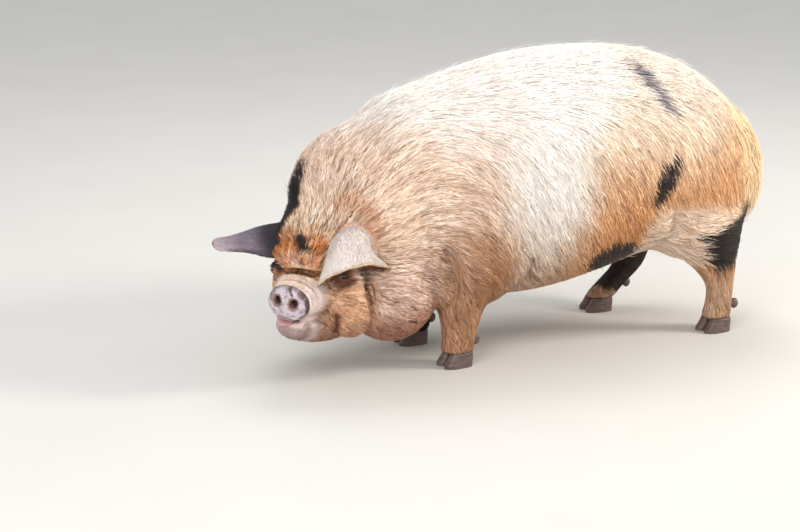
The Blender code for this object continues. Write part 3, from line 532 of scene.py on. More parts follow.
def dewclaw_body(x, y, z, side, turn):
    frame = Matrix.Translation((x, y, z)) @ Matrix.Rotation(turn, 4, "Z")
    return ellipsoid((side * 0.016, 0.033, 0.002), (0.0075, 0.01, 0.012), frame, 32, 20)


def head_matrix():
    turn = Matrix.Rotation(HEAD_YAW, 4, "Z")
    nod = Matrix.Rotation(HEAD_PITCH, 4, "X")
    return Matrix.Translation(EYE_MIDPOINT) @ turn @ nod


def snout_matrix(head):
    """The head's frame rolled a little about the snout's own axis."""
    lift = Matrix.Translation((0.0, 0.0, SNOUT_AXIS_HEIGHT))
    return head @ lift @ Matrix.Rotation(SNOUT_ROLL, 4, "Y") @ lift.inverted()


def new_object(name, mesh):
    made = bpy.data.objects.new(name, mesh)
    bpy.context.scene.collection.objects.link(made)
    return made


def from_bmesh(name, shape):
    mesh = bpy.data.meshes.new(name)
    shape.to_mesh(mesh)
    shape.free()
    return new_object(name, mesh)


def closed(name, shape):
    """An object from a closed shape, in triangles that face out."""
    bmesh.ops.triangulate(shape, faces=shape.faces)
    bmesh.ops.recalc_face_normals(shape, faces=shape.faces)
    return from_bmesh(name, shape)


def ellipsoid(centre, radii, frame=None, segments=32, rings=20):
    """A closed ellipsoid in the given frame."""
    frame = frame or Matrix.Identity(4)
    shape = bmesh.new()
    bmesh.ops.create_uvsphere(shape, u_segments=segments, v_segments=rings, radius=1.0)
    shape.transform(frame @ Matrix.Translation(centre) @ Matrix.Diagonal((*radii, 1.0)))
    return from_bmesh("ellipsoid", shape)


def smooth_rows(rows, per_span):
    """Rows of numbers joined by a Catmull-Rom curve, with per_span steps in each span."""
    rows = np.array(rows, float)
    padded = np.concatenate([[2 * rows[0] - rows[1]], rows, [2 * rows[-1] - rows[-2]]])
    found = []
    for i in range(len(rows) - 1):
        a, b, c, d = padded[i : i + 4]
        for t in np.arange(per_span) / per_span:
            cubic = t * (3 * (b - c) + d - a)
            found.append(b + 0.5 * t * (c - a + t * (2 * a - 5 * b + 4 * c - d + cubic)))
    found.append(rows[-1])
    return np.array(found)


def loft(rings, frame=None):
    """A closed body through rings of points, each ring with as many points as the others."""
    frame = frame or Matrix.Identity(4)
    shape = bmesh.new()
    loops = [[shape.verts.new(frame @ Vector(p)) for p in ring] for ring in rings]
    for here, after in zip(loops, loops[1:]):
        for i in range(len(here)):
            j = (i + 1) % len(here)
            shape.faces.new((here[i], here[j], after[j], after[i]))
    shape.faces.new(loops[0][::-1])
    shape.faces.new(loops[-1])
    return closed("loft", shape)


def section(half_width, half_height, power=2.0, sides=SECTION_SIDES):
    """Points of a superellipse, as pairs."""
    found = []
    for i in range(sides):
        angle = 2 * math.pi * i / sides
        c, s = math.cos(angle), math.sin(angle)
        across = math.copysign(abs(c) ** (2 / power), c) * half_width
        upward = math.copysign(abs(s) ** (2 / power), s) * half_height
        found.append((across, upward))
    return found


def torso_loft():
    rings = []
    for y, low, high, half_width, shift in smooth_rows(TORSO_STATIONS, 4):
        middle, half_height = (low + high) / 2, (high - low) / 2
        outline = section(half_width, half_height, SECTION_POWER)
        rings.append([(shift + x, y, middle + z) for x, z in outline])
    return loft(rings)


def leg_loft(stations):
    rings = []
    for x, y, z, half_width, half_depth in smooth_rows(stations, 3):
        rings.append([(x + a, y + b, z) for a, b in section(half_width, half_depth, sides=20)])
    return loft(rings)


def head_loft(stations, frame):
    rings = []
    for y, z, half_width, half_height in smooth_rows(stations, 3):
        rings.append([(a, y, z + b) for a, b in section(half_width, half_height, 2.2, 24)])
    return loft(rings, frame)


def tube(stations, per_span=2, sides=10):
    """A closed tube along points with a radius each."""
    rows = smooth_rows(stations, per_span)
    rings = []
    for i, row in enumerate(rows):
        along = Vector(rows[min(i + 1, len(rows) - 1)][:3] - rows[max(i - 1, 0)][:3]).normalized()
        side = along.cross(Vector((1.0, 0.0, 0.0))).normalized()
        other = along.cross(side)
        centre = Vector(row[:3])
        rings.append([centre + side * a + other * b for a, b in section(row[3], row[3], sides=sides)])
    return loft(rings)


def evaluated(host, name):
    """A new object holding the host's mesh with its modifiers applied. The host is used up."""
    graph = bpy.context.evaluated_depsgraph_get()
    mesh = bpy.data.meshes.new_from_object(host.evaluated_get(graph))
    bpy.data.objects.remove(host)
    return new_object(name, mesh)


def fused(name, pieces, voxel, rounds):
    """One closed skin round all the pieces, smoothed that many times. The pieces are used up."""
    host = pieces[0]
    with bpy.context.temp_override(active_object=host, selected_editable_objects=pieces):
        bpy.ops.object.join()
    remesh = host.modifiers.new("remesh", "REMESH")
    remesh.mode = "VOXEL"
    remesh.voxel_size = voxel
    smooth = host.modifiers.new("smooth", "SMOOTH")
    smooth.factor = 0.5
    smooth.iterations = rounds
    return evaluated(host, name)


def masses(rows, frame=None):
    return [ellipsoid(centre, radii, frame) for centre, radii in rows]


def array_of(items, field, width, kind=float):
    """One field of all the items of a mesh, as rows of that width."""
    values = np.empty(len(items) * width, kind)
    items.foreach_get(field, values)
    return values.reshape(-1, width)


def surface(mesh):
    """The points and normals of a mesh."""
    return array_of(mesh.vertices, "co", 3), array_of(mesh.vertex_normals, "vector", 3)


def reshaped(mesh, points):
    mesh.vertices.foreach_set("co", points.ravel())
    mesh.update()


def pressed_folds(target, folds, frame=None):
    """Presses each fold's line into the skin, and raises the skin a little on both sides."""
    frame = frame or Matrix.Identity(4)
    mesh = target.data
    tree = BVHTree.FromObject(target, bpy.context.evaluated_depsgraph_get())
    points, normals = surface(mesh)
    moved = np.zeros(len(points))
    for line, depth, width in folds:
        path = [tree.find_nearest(frame @ Vector(p))[0] for p in smooth_rows(line, 6)]
        path = np.array(path)
        near = np.all((points > path.min(0) - 5 * width) & (points < path.max(0) + 5 * width), axis=1)
        index = np.nonzero(near)[0]
        offsets = points[index][:, None, :] - path[None, :-1, :]
        spans = path[1:] - path[:-1]
        along = np.einsum("ijk,jk->ij", offsets, spans) / np.maximum((spans**2).sum(1), 1e-12)
        feet = offsets - np.clip(along, 0, 1)[:, :, None] * spans[None]
        distance = np.sqrt((feet**2).sum(2))
        closest = distance.argmin(1)
        apart = distance[np.arange(len(index)), closest]
        place = (closest + np.clip(along[np.arange(len(index)), closest], 0, 1)) / len(spans)
        fade = np.minimum(1, np.minimum(place, 1 - place) * 5 + 0.15)
        press = np.exp(-((apart / width) ** 2)) - 0.35 * np.exp(-(((apart - 1.9 * width) / width) ** 2))
        moved[index] += press * fade * depth
    reshaped(mesh, points - normals * moved[:, None])


def thinned(target, name, share):
    """The skin with that share of its triangles, more of them left where it bends."""
    thin = target.modifiers.new("thin", "DECIMATE")
    thin.ratio = share
    return evaluated(target, name)


def combined(target, tools, operation):
    """The target united with, cut by or cut down to each tool. The tools are used up."""
    for tool in tools:
        modifier = target.modifiers.new("cut", "BOOLEAN")
        modifier.object = tool
        modifier.operation = operation
        modifier.solver = "MANIFOLD"
    name = target.name
    made = evaluated(target, name + "_new")
    for tool in tools:
        bpy.data.objects.remove(tool)
    made.name = name
    return made


def largest(target):
    """Only the largest closed surface of the target."""
    shape = bmesh.new()
    shape.from_mesh(target.data)
    shape.faces.ensure_lookup_table()
    seen, groups = set(), []
    for face in shape.faces:
        if face.index in seen:
            continue
        stack, group = [face], []
        seen.add(face.index)
        while stack:
            here = stack.pop()
            group.append(here)
            for edge in here.edges:
                for other in edge.link_faces:
                    if other.index not in seen:
                        seen.add(other.index)
                        stack.append(other)
        groups.append(group)
    groups.sort(key=len, reverse=True)
    extra = [face for group in groups[1:] for face in group]
    bmesh.ops.delete(shape, geom=extra, context="FACES")
    loose = [v for v in shape.verts if not v.link_faces]
    bmesh.ops.delete(shape, geom=loose, context="VERTS")
    shape.to_mesh(target.data)
    shape.free()
    return target


def mouth_outline(half_height):
    wide = [-0.1 + 0.025 * i for i in range(9)]
    return [(x, -half_height) for x in wide] + [(x, half_height) for x in wide[::-1]]


HEAD = head_matrix()
SNOUT = snout_matrix(HEAD)


def smooth(low, high, value):
    t = np.clip((value - low) / (high - low), 0.0, 1.0)
    return t * t * (3.0 - 2.0 * t)


def mixed(first, second, share):
    share = np.asarray(share)[:, None]
    return np.asarray(first) * (1.0 - share) + np.asarray(second) * share


def blend(first, second, share):
    """The first colour where the share is 0, the second where it is 1."""
    return mixed(np.tile(first, (len(share), 1)), second, share)


def unit(vectors):
    return vectors / np.maximum(np.linalg.norm(vectors, axis=-1, keepdims=True), 1e-6)


def ellipse(points, centre, radii=1.0):
    """How far each point is from the centre, where 1 is on the ellipsoid with these radii."""
    return np.linalg.norm((points - centre) / radii, axis=1)


def wobble(points, scale, seed=0.0):
    """A smooth wandering value from -1 to 1 at each point."""
    p = points * scale + seed
    x, y, z = p[:, 0], p[:, 1], p[:, 2]
    first = np.sin(1.3 * x + 2.1 * y + 0.4 * z + 0.7) + np.sin(2.7 * y - 1.1 * z + 1.9 * x + 2.2)
    second = np.sin(3.1 * z + 1.7 * y - 0.6 * x) + np.sin(4.3 * x - 2.3 * y + 1.9 * z + 4.1)
    return (first + second) / 4.0


def line_distance(points, line):
    path = np.array(line, float)
    best = np.full(len(points), 9.0)
    for a, b in zip(path, path[1:]):
        span = b - a
        t = np.clip((points - a) @ span / (span @ span), 0.0, 1.0)
        best = np.minimum(best, np.linalg.norm(points - a - t[:, None] * span, axis=1))
    return best


def in_frame(points, matrix):
    """World points in the frame of the head or the snout."""
    return (points - np.array(matrix.translation)) @ np.array(matrix.to_3x3())


def mouth_gap(snout):
    """Distance from the lines of the mouth on both sides."""
    return np.minimum(line_distance(snout, MOUTH_LINE), line_distance(snout * (-1, 1, 1), MOUTH_LINE))


TAIL_LINE = [row[:3] for row in TAIL_STATIONS]


class EarMap:
    """Where a point lies on an ear: how far along it, how far across it, and on which face."""

    def __init__(self, rows, outward):
        grid, long_way, normals = ear_grid(rows, 6, 6)
        turn = np.array(HEAD.to_3x3()).T
        self.points = grid.reshape(-1, 3) @ turn + np.array(HEAD.translation)
        self.normals = normals.reshape(-1, 3) @ turn
        self.lie = long_way.reshape(-1, 3) @ turn
        self.outward = outward
        along, across = np.linspace(0, 1, grid.shape[0]), np.linspace(-1, 1, grid.shape[1])
        u, v = np.meshgrid(along, across, indexing="ij")
        self.u, self.v = u.ravel(), v.ravel()

    def at(self, points, normals):
        """Distance from the ear, places along and across it, share on its inside, and its lie."""
        nearest = np.zeros(len(points), int)
        distance = np.full(len(points), 9.0)
        index = np.nonzero(ellipse(points, self.points.mean(0)) < EAR_REACH)[0]
        for start in range(0, len(index), 4000):
            some = index[start : start + 4000]
            gaps = np.linalg.norm(points[some][:, None, :] - self.points[None], axis=2)
            nearest[some] = gaps.argmin(1)
            distance[some] = gaps.min(1)
        facing = (normals * self.normals[nearest]).sum(1) * self.outward
        return distance, self.u[nearest], self.v[nearest], smooth(-0.1, -0.5, facing), self.lie[nearest]


def thigh_share(points):
    """How far a point is on the thigh and the fold of the flank, where the coat runs to the rear."""
    x, y, z = points.T
    front = smooth(0.05, 0.1, y - 0.2 * (z - 0.228))
    height = smooth(0.35, 0.295, z + 0.06 * (y - 0.1)) * smooth(0.15, 0.185, z)
    return front * height * smooth(0.06, 0.12, np.abs(x))


def trunk_colour(points, rough):
    """Colour of the trunk and legs without the black marks."""
    x, y, z = points.T
    front = blend(TAN_LOW, TAN, smooth(0.2, 0.34, z + 0.012 * rough))
    front = mixed(front, PALE, smooth(0.38, 0.56, z + 0.015 * rough))
    rump = smooth(0.22, 0.36, y)
    orange = smooth(0.53 + 0.06 * rump, 0.3 + 0.1 * rump, z + 0.02 * rough)
    back = blend(PEACH, ORANGE, orange)
    back = mixed(back, ORANGE_LOW, 0.8 * smooth(0.36, 0.25, z + 0.015 * rough) * smooth(-0.12, 0.0, y))
    back = mixed(back, SHANK, 0.35 * smooth(0.1, 0.22, y) * smooth(0.38, 0.28, z))
    fold = thigh_share(points)
    back = mixed(back, FOLD_GREY, 0.85 * fold)
    # Painted light at the rear of the rump, paler and yellower where the light from behind falls on it.
    back = mixed(back, RUMP_LIGHT_YELLOW, 0.85 * smooth(0.27, 0.375, y + 0.018 * rough) * smooth(0.24, 0.32, z))
    colour = mixed(front, back, smooth(-0.15, 0.0, y + 0.02 * rough))
    centre = -0.172 + 0.7 * np.clip(z - 0.46, 0, 1)
    half = 0.07 + 0.25 * np.clip(z - 0.5, 0, 1) - 0.04 * smooth(0.36, 0.24, z)
    saddle = smooth(half + 0.075, half - 0.03, np.abs(y - centre) + 0.016 * rough)
    colour = mixed(colour, CREAM, 0.9 * saddle * (0.55 + 0.45 * smooth(0.2, 0.42, z)))
    colour = mixed(colour, CREAM, (0.45 + 0.3 * smooth(-0.22, -0.36, y)) * smooth(0.47, 0.61, z))
    elbow = line_distance(points * (0.6, 1, 1), ((0.13, -0.34, 0.275), (0.12, -0.3, 0.2)))
    colour = mixed(colour, GINGER, 0.75 * smooth(0.085, 0.015, elbow + 0.012 * rough) * smooth(0.06, 0.12, x))
    colour = mixed(colour, GINGER, 0.35 * smooth(0.24, 0.15, z) * smooth(-0.05, -0.15, y))
    tail = smooth(0.032, 0.022, line_distance(points, TAIL_LINE))
    colour = mixed(colour, TAIL_TAN, 0.85 * tail)
    colour = mixed(colour, TAIL_DARK, 0.8 * tail * smooth(0.345, 0.315, z + 0.01 * rough))
    shank = smooth(0.17, 0.12, z) * smooth(0.0, 0.08, y)
    return mixed(colour, SHANK, 0.85 * shank * (1 - 0.6 * smooth(0.335, 0.36, y)))


def face_colour(colour, local, snout, rough):
    """Colour of the head laid over that of the trunk."""
    low = blend(TAN, JOWL, smooth(0.03, -0.04, local[:, 2]))
    low = mixed(low, JOWL_LOW, 0.95 * smooth(-0.07, -0.145, local[:, 2] + 0.01 * rough))
    colour = mixed(colour, low, smooth(0.22, 0.08, local[:, 1]))
    brow = smooth(1.35, 0.75, ellipse(local, (-0.004, 0.0, 0.052), (0.096, 0.08, 0.066)) + 0.16 * rough)
    front = blend(FACE_ORANGE, FACE_STRAW, smooth(0.05, 0.095, local[:, 2] + 0.012 * rough))
    band = local[:, 2] + 0.25 * np.abs(local[:, 0]) + 0.006 * rough
    front = mixed(front, FACE_BAND, 0.85 * smooth(0.046, 0.026, band))
    colour = mixed(colour, front, brow)
    cheek = np.minimum(*(ellipse(local, (x, 0.01, -0.078), (0.056, 0.06, 0.07)) for x in (0.074, -0.07)))
    colour = mixed(colour, CHEEK, 0.95 * smooth(1.45, 0.65, cheek + 0.14 * rough))
    muzzle = local[:, 1] + 0.006 * rough + 0.25 * (np.abs(snout[:, 0]) - 0.052).clip(0)
    colour = mixed(colour, MUZZLE_GREY, 0.95 * smooth(-0.03, -0.064, muzzle))
    bridge = smooth(-0.022, 0.004, snout[:, 2] - 0.35 * snout[:, 0].clip(0))
    colour = mixed(colour, BRIDGE_TAN, 0.85 * smooth(-0.03, -0.06, muzzle) * bridge)
    # The chin grey and darker: its own grey skin with painted shade under the snout.
    chin = smooth(-0.078, -0.09, snout[:, 2])
    colour = mixed(colour, CHIN_GREY_SHADED, 0.9 * smooth(-0.06, -0.085, muzzle) * chin)
    # Painted shade in the groove of the mouth.
    colour = mixed(colour, MOUTH_SHADE, 0.95 * smooth(0.0075, 0.002, mouth_gap(snout)))
    # Painted shade along the face's folds and creases and under the near ear.
    colour = shaded(colour, FOLD_SHADE_BROWN, local, FACE_PAINTED_SHADES, 0.002 * rough)
    # Painted shade in the recess round each eye, stronger on the near eye under its ear.
    for side, share in ((1, 0.8), (-1, 0.4)):
        eye = ellipse(local, (side * EYE_CENTRE[0], -0.01, EYE_CENTRE[2]))
        colour = mixed(colour, SOCKET_SHADE, share * smooth(0.032, 0.017, eye + 0.003 * rough))
    root = line_distance(local, EAR_ROOT)
    return mixed(colour, EAR_ROOT_TAN, 0.55 * smooth(0.03, 0.004, root + 0.006 * rough))


def shaded(colour, shade, points, lines, ragged):
    """The shade laid along each line, which has a reach and a strength."""
    for line, reach, share in lines:
        dark = line_distance(points, line) + ragged
        colour = mixed(colour, shade, share * smooth(reach, 0.3 * reach, dark))
    return colour


def disc_colour(snout, points, rough, fine):
    """Colour of the bare disc of the nose, with its nostrils."""
    mottle = 0.4 * smooth(-0.1, 0.8, wobble(points, 130.0, 8.0))
    mottle = mottle + 0.22 * smooth(0.2, 0.8, wobble(points, 300.0, 4.0))
    disc = blend(DISC_LILAC, DISC_MOTTLE, mottle)
    edge = np.linalg.norm((snout - DISC_CENTRE)[:, (0, 2)] / (DISC_RADII[0], DISC_RADII[2]), axis=1)
    # Painted shade in the groove round the rim of the disc.
    disc = mixed(disc, DISC_RIM_SHADE, 0.7 * smooth(0.86, 1.0, edge + 0.05 * rough))
    # Painted shade in the disc's creases and along its rim, with some of its own dark marks.
    disc = shaded(disc, DISC_CREASE_AND_MARK_DARK, snout * (1, 0, 1), DISC_CREASE_AND_MARK_LINES, 0.0012 * fine)
    deep = smooth(-0.119, -0.112, snout[:, 1])
    for side in (1, -1):
        nostril = ellipse(snout, (side * NOSTRIL_CENTRE[0], -0.125, NOSTRIL_CENTRE[2]), NOSTRIL_RIM)
        disc = mixed(disc, NOSTRIL_TAN, 0.8 * smooth(1.25, 1.05, nostril + 0.08 * fine))
        disc = mixed(disc, NOSTRIL_BROWN, 0.8 * smooth(0.85, 0.6, nostril + 0.06 * fine))
        # Painted shadow deep inside each nostril.
        disc = mixed(disc, NOSTRIL_SHADOW, deep * smooth(1.3, 1.1, nostril))
    return disc


def line_marks(points, lines, ragged, outer, inner):
    """How strongly each point is marked by lines that have a radius and a strength."""
    mark = np.zeros(len(points))
    for line, radius, share in lines:
        gap = line_distance(points, line) + ragged
        mark = np.maximum(mark, share * smooth(radius + outer, radius - inner, gap))
    return mark


def coat_colour(points, normals):
    """Colour of the coat at each point, as display values, and how bare the skin is there."""
    local, snout = in_frame(points, HEAD), in_frame(points, SNOUT)
    rough = wobble(points, 60.0)
    fine = wobble(points, 190.0, 3.0)
    colour = face_colour(trunk_colour(points, rough), local, snout, rough)

    ragged = 0.006 * rough + 0.003 * fine
    black = line_marks(points, BLACK_LINES, ragged, 0.006, 0.003)
    for spot, radii, share in BLACK_BLOBS:
        gap = ellipse(points, spot, radii) + 0.15 * rough + 0.06 * fine
        black = np.maximum(black, share * smooth(1.1, 0.92, gap))
    black = np.maximum(black, line_marks(local, HEAD_BLACK, ragged, 0.005, 0.004))
    colour = mixed(colour, BLACK, black)
    for line in GREY_LINES:
        colour = mixed(colour, STREAK_GREY, line_marks(points, (line,), ragged, 0.007, 0.007))

    bare = smooth(-0.097, -0.104, snout[:, 1]) * smooth(-0.078, -0.07, snout[:, 2])
    colour = mixed(colour, disc_colour(snout, points, rough, fine), bare)
    lip = smooth(0.01, 0.005, line_distance(snout, LIP_LINE)) * smooth(-0.07, -0.075, snout[:, 2])
    colour = mixed(colour, LIP_PINK, 0.8 * lip * smooth(0.01, 0.0, snout[:, 0]))
    for ear, pale in zip(EAR_MAPS, (True, False)):
        distance, u, v, inside, _ = ear.at(points, normals)
        on = smooth(0.0085, 0.0065, distance)
        if pale:
            edge = np.maximum(smooth(0.82, 0.96, u), 0.7 * smooth(0.9, 1.0, np.abs(v)))
            shade = blend(EAR_PALE, EAR_RIM, 0.85 * edge)
            # Painted shade on the inside of the near ear, which hangs over the eye.
            shade = mixed(shade, EAR_INSIDE_SHADE, inside * (1 - 0.6 * smooth(0.9, 0.97, u)))
        else:
            # The far ear is black with a painted sheen, grey and then lilac towards its tip, fading back to black
            # along its edges.
            shade = blend(EAR_BLACK, EAR_SHEEN_GREY, smooth(0.14, 0.48, u))
            shade = mixed(shade, EAR_SHEEN_LILAC, smooth(0.52, 1.0, u))
            shade = mixed(shade, EAR_BLACK, 0.55 * smooth(0.65, 0.95, np.abs(v)) * smooth(0.95, 0.8, u))
            shade = mixed(shade, EAR_DARK_INSIDE, inside)
        colour = mixed(colour, shade, on)
        bare = np.maximum(bare, 0.35 * on * inside)
    colour = colour * (1.0 + 0.05 * rough + 0.03 * fine)[:, None]
    return np.clip(colour, 0.0, 1.0), bare


def linear(colour):
    return np.where(colour <= 0.04045, colour / 12.92, ((colour + 0.055) / 1.055) ** 2.4)


def hair_lie(points, normals):
    """Which way the coat lies at each point, along the skin."""
    x, y, z = points.T
    local = in_frame(points, HEAD)
    away = local - (0.0, -0.15, -0.04)
    droop = 0.25 + 0.4 * smooth(0.05, -0.03, local[:, 2])
    away[:, 2] = away[:, 2] * 0.9 - droop * np.abs(away[:, 0])
    face = unit(away) @ np.array(HEAD.to_3x3()).T
    side = np.clip(np.abs(x) / 0.24, 0, 1)
    low = smooth(0.63, 0.42, z)
    rear = smooth(0.15, 0.42, y)
    front = smooth(-0.2, -0.45, y)
    outward = np.sign(x) * 0.22 * side * (1 - low)
    rearward = 1.0 - 0.5 * rear - 0.3 * low * (1 - front)
    upward = -0.12 - 1.15 * low * side * (1 - 0.45 * front) - 1.0 * rear
    trunk = unit(np.stack([outward, rearward, upward], axis=1))
    trunk = mixed(trunk, (0.0, 1.0, 0.02), thigh_share(points))
    trunk = mixed(trunk, (0.0, 0.25, -1.0), smooth(0.2, 0.14, z) * smooth(-0.46, -0.4, y))
    head = smooth(0.22, 0.08, local[:, 1])
    lie = mixed(trunk, face, head)
    for ear in EAR_MAPS:
        distance, _, _, _, along = ear.at(points, normals)
        lie = mixed(lie, along, smooth(0.0075, 0.0055, distance))
    hang = smooth(0.036, 0.026, line_distance(points, TAIL_LINE)) * (y > 0.455)
    lie = mixed(lie, (0.0, 0.0, -1.0), hang)
    swirl = np.stack([wobble(points, 26.0, s) for s in (1.0, 5.0, 9.0)], axis=1)
    lie = lie + 0.13 * swirl * (1 - 0.4 * head[:, None])
    return unit(lie - normals * (lie * normals).sum(1, keepdims=True))


def forms(count, length=0.0, width=0.0, lift=0.0, number=0.0, gather=0.0):
    """One row for each point with the five values that coat_form gives."""
    return np.stack([value + np.zeros(count) for value in (length, width, lift, number, gather)], axis=1)


def coat_form(points, normals):
    """Length, width, lift of the tip, relative number and clumping of the tufts at each point, in columns."""
    y, z = points[:, 1], points[:, 2]
    local, snout = in_frame(points, HEAD), in_frame(points, SNOUT)
    count = len(points)
    legs = smooth(0.19, 0.13, z)
    length = 0.05 + 0.008 * smooth(0.0, 0.35, y)
    length = length - 0.022 * smooth(0.2, 0.14, z) - 0.014 * smooth(0.13, 0.06, z)
    number = (1.0 + legs) * (1 - 0.4 * smooth(-0.5, -0.8, normals[:, 2]))
    form = forms(count, length, 0.0017 - 0.0006 * legs, 0.0036 - 0.0022 * legs, number, 0.3)
    length = 0.007 + 0.03 * smooth(-0.085, 0.16, local[:, 1])
    width = 0.0009 + 0.0007 * smooth(-0.1, 0.1, local[:, 1])
    face = forms(count, length, width, 0.0022, 2.6 - 0.9 * smooth(-0.09, 0.1, local[:, 1]), 0.3)
    form = mixed(form, face, smooth(0.2, 0.05, local[:, 1]))
    brow = smooth(1.15, 0.75, ellipse(local, (0.0, 0.0, 0.055), (0.09, 0.07, 0.06)))
    form += np.outer(brow, (0.006, -0.0003, 0.0062, 0.5, 0.35))
    form[:, 3] *= 1 - 0.55 * smooth(-0.04, -0.062, local[:, 1])
    behind = line_distance(points, TAIL_LINE)
    fringe = smooth(0.35, 0.43, y) * smooth(0.24, 0.3, z) * smooth(0.025, 0.075, behind)
    form += np.outer(fringe, (0.026, 0.0, 0.016, 0.0, 0.2))
    tail = smooth(0.032, 0.022, behind)
    form[:, 0] = form[:, 0] * (1 - tail) + (0.017 + 0.038 * smooth(0.35, 0.31, z)) * tail
    form[:, 3] += 1.5 * tail
    crest = np.minimum(*(ellipse(local, place) for place in EAR_CRESTS))
    form += np.outer(smooth(0.05, 0.015, crest), (0.0, 0.0, 0.006, 0.0, 0.25))
    for ear in EAR_MAPS:
        distance, u, v, inside, _ = ear.at(points, normals)
        edge = np.maximum(smooth(0.8, 0.96, u), smooth(0.9, 0.98, np.abs(v)))
        sheet = forms(count, 0.0085 + 0.004 * edge, 0.0009, 0.0011, 3.2 - 2.0 * inside)
        form = mixed(form, sheet, smooth(0.0085, 0.0065, distance))
    number = form[:, 3] * (1 - smooth(-0.09, -0.098, snout[:, 1]))
    for side, hidden in ((1, 0.0), (-1, 0.004)):
        number = number * smooth(0.0155, 0.019, ellipse(local, sided(side, EYE_CENTRE)) - hidden)
    number = number * smooth(0.004, 0.008, mouth_gap(snout))
    number = number * smooth(0.008, 0.013, line_distance(snout, LIP_LINE))
    form[:, 3] = number * smooth(0.029, 0.033, z)
    form[:, 4] = np.clip(form[:, 4], 0, 0.8)
    return form.T


EAR_MAPS = [EarMap(rows, outward) for rows, outward in zip((EAR_LEFT, EAR_RIGHT), EAR_OUTWARD)]


def unplaced_skin():
    """The whole flesh as one closed skin, before the ears, lids and sockets join it."""
    core = fused("core", [torso_loft(), *masses(TRUNK_MASSES), *masses(SKULL_MASSES, HEAD)], CORE_VOXEL, 16)
    face = [*masses(FACE_MASSES, HEAD), ellipsoid(DISC_CENTRE, DISC_RADII, SNOUT)]
    face += [head_loft(stations, SNOUT) for stations in (MUZZLE_STATIONS, JAW_STATIONS)]
    legs = [leg_loft(stations) for _, stations, _ in FEET]
    flesh = fused("flesh", [core, *face, *legs, tube(TAIL_STATIONS, 5, 20)], SKIN_VOXEL, 6)
    cuts = []
    for side in (1, -1):
        nostril = SNOUT @ Matrix.Translation(sided(side, NOSTRIL_CENTRE))
        nostril = nostril @ Matrix.Rotation(side * NOSTRIL_TURN, 4, "Y")
        cuts.append(ellipsoid((0, 0, 0), NOSTRIL_RADII, nostril))
    mouth = []
    for y, half_height, z in MOUTH_STATIONS:
        mouth.append([(x, y, z + h + MOUTH_RISE * x * x) for x, h in mouth_outline(half_height)])
    cuts.append(loft(mouth, SNOUT))
    flesh = combined(flesh, cuts, "DIFFERENCE")
    flesh = fused("flesh", [flesh], SKIN_VOXEL * 0.9, 3)
    pressed_folds(flesh, HEAD_FOLDS, HEAD)
    pressed_folds(flesh, SNOUT_FOLDS, SNOUT)
    pressed_folds(flesh, FACE_WRINKLES, HEAD)
    pressed_folds(flesh, BODY_FOLDS)
    pressed_folds(flesh, BODY_WRINKLES)
    points, normals = surface(flesh.data)
    local = in_frame(points, HEAD)
    inset = SKIN_INSET * smooth(-0.1, -0.085, local[:, 1]) + 0.0003
    reshaped(flesh.data, points - normals * inset[:, None])
    return thinned(flesh, "skin", SKIN_KEPT)


def eye_place(side):
    """The centre of an eye and the way it looks, in the head's frame."""
    return Vector(sided(side, EYE_CENTRE)), Vector(sided(side, EYE_GAZE)).normalized()


def dressed_skin():
    """The skin with ears, lids, eye openings and sockets, cut off above the claws."""
    skin = unplaced_skin()
    floor_cut = new_box((0.0, 0.0, LEG_BOTTOM - 0.5), 1.0)
    skin = combined(skin, [floor_cut], "DIFFERENCE")
    lids, openings = [], []
    for side in (1, -1):
        eye, outward = eye_place(side)
        lids.append(ellipsoid(eye - outward * 0.002, (EYE_RADIUS + 0.0042,) * 3, HEAD, 64, 40))
        sight = outward.to_track_quat("Y", "Z").to_matrix().to_4x4()
        slot = HEAD @ Matrix.Translation(eye + outward * 0.014) @ sight
        openings.append(ellipsoid((0, 0, 0), (0.0112, 0.016, 0.0058), slot, 64, 32))
        openings.append(ellipsoid(eye, (EYE_RADIUS + 0.0002,) * 3, HEAD, 48, 32))
    ears = [ear_shell("ear_left", EAR_LEFT), ear_shell("ear_right", EAR_RIGHT)]
    skin = combined(skin, lids + ears, "UNION")
    skin = largest(combined(skin, openings, "DIFFERENCE"))
    refined(skin, 0.04)
    refined(skin, -0.045)
    pressed_folds(skin, SNOUT_WRINKLES, SNOUT)
    return skin


def refined(target, limit):
    """Splits the faces of the head in front of the limit, so that small marks and wrinkles come out."""
    shape = bmesh.new()
    shape.from_mesh(target.data)
    shape.verts.ensure_lookup_table()
    local = in_frame(np.array([v.co[:] for v in shape.verts]), HEAD)
    eyes = ellipse(np.abs(local), np.abs(EYE_CENTRE)) < 0.03
    chosen = (local[:, 1] < limit) | (eyes & (limit < 0))
    edges = [e for e in shape.edges if chosen[e.verts[0].index] and chosen[e.verts[1].index]]
    bmesh.ops.subdivide_edges(shape, edges=edges, cuts=1, use_grid_fill=True, smooth=0.0)
    bmesh.ops.triangulate(shape, faces=shape.faces[:])
    shape.to_mesh(target.data)
    shape.free()
    target.data.shade_smooth()


def new_box(centre, size):
    shape = bmesh.new()
    bmesh.ops.create_cube(shape, size=size)
    shape.transform(Matrix.Translation(centre) @ Matrix.Diagonal((4.0, 4.0, 1.0, 1.0)))
    return from_bmesh("box", shape)


def unwrapped(target):
    """A UV map of the target's own shape, in flat islands."""
    mesh = target.data
    mesh.uv_layers.new(name="OFBake")
    only = {"selected_objects": [target], "selected_editable_objects": [target]}
    with bpy.context.temp_override(active_object=target, object=target, **only):
        bpy.context.view_layer.objects.active = target
        bpy.ops.object.mode_set(mode="EDIT")
        bpy.ops.mesh.select_all(action="SELECT")
        bpy.ops.uv.smart_project(angle_limit=1.15, island_margin=0.0015)
        bpy.ops.object.mode_set(mode="OBJECT")


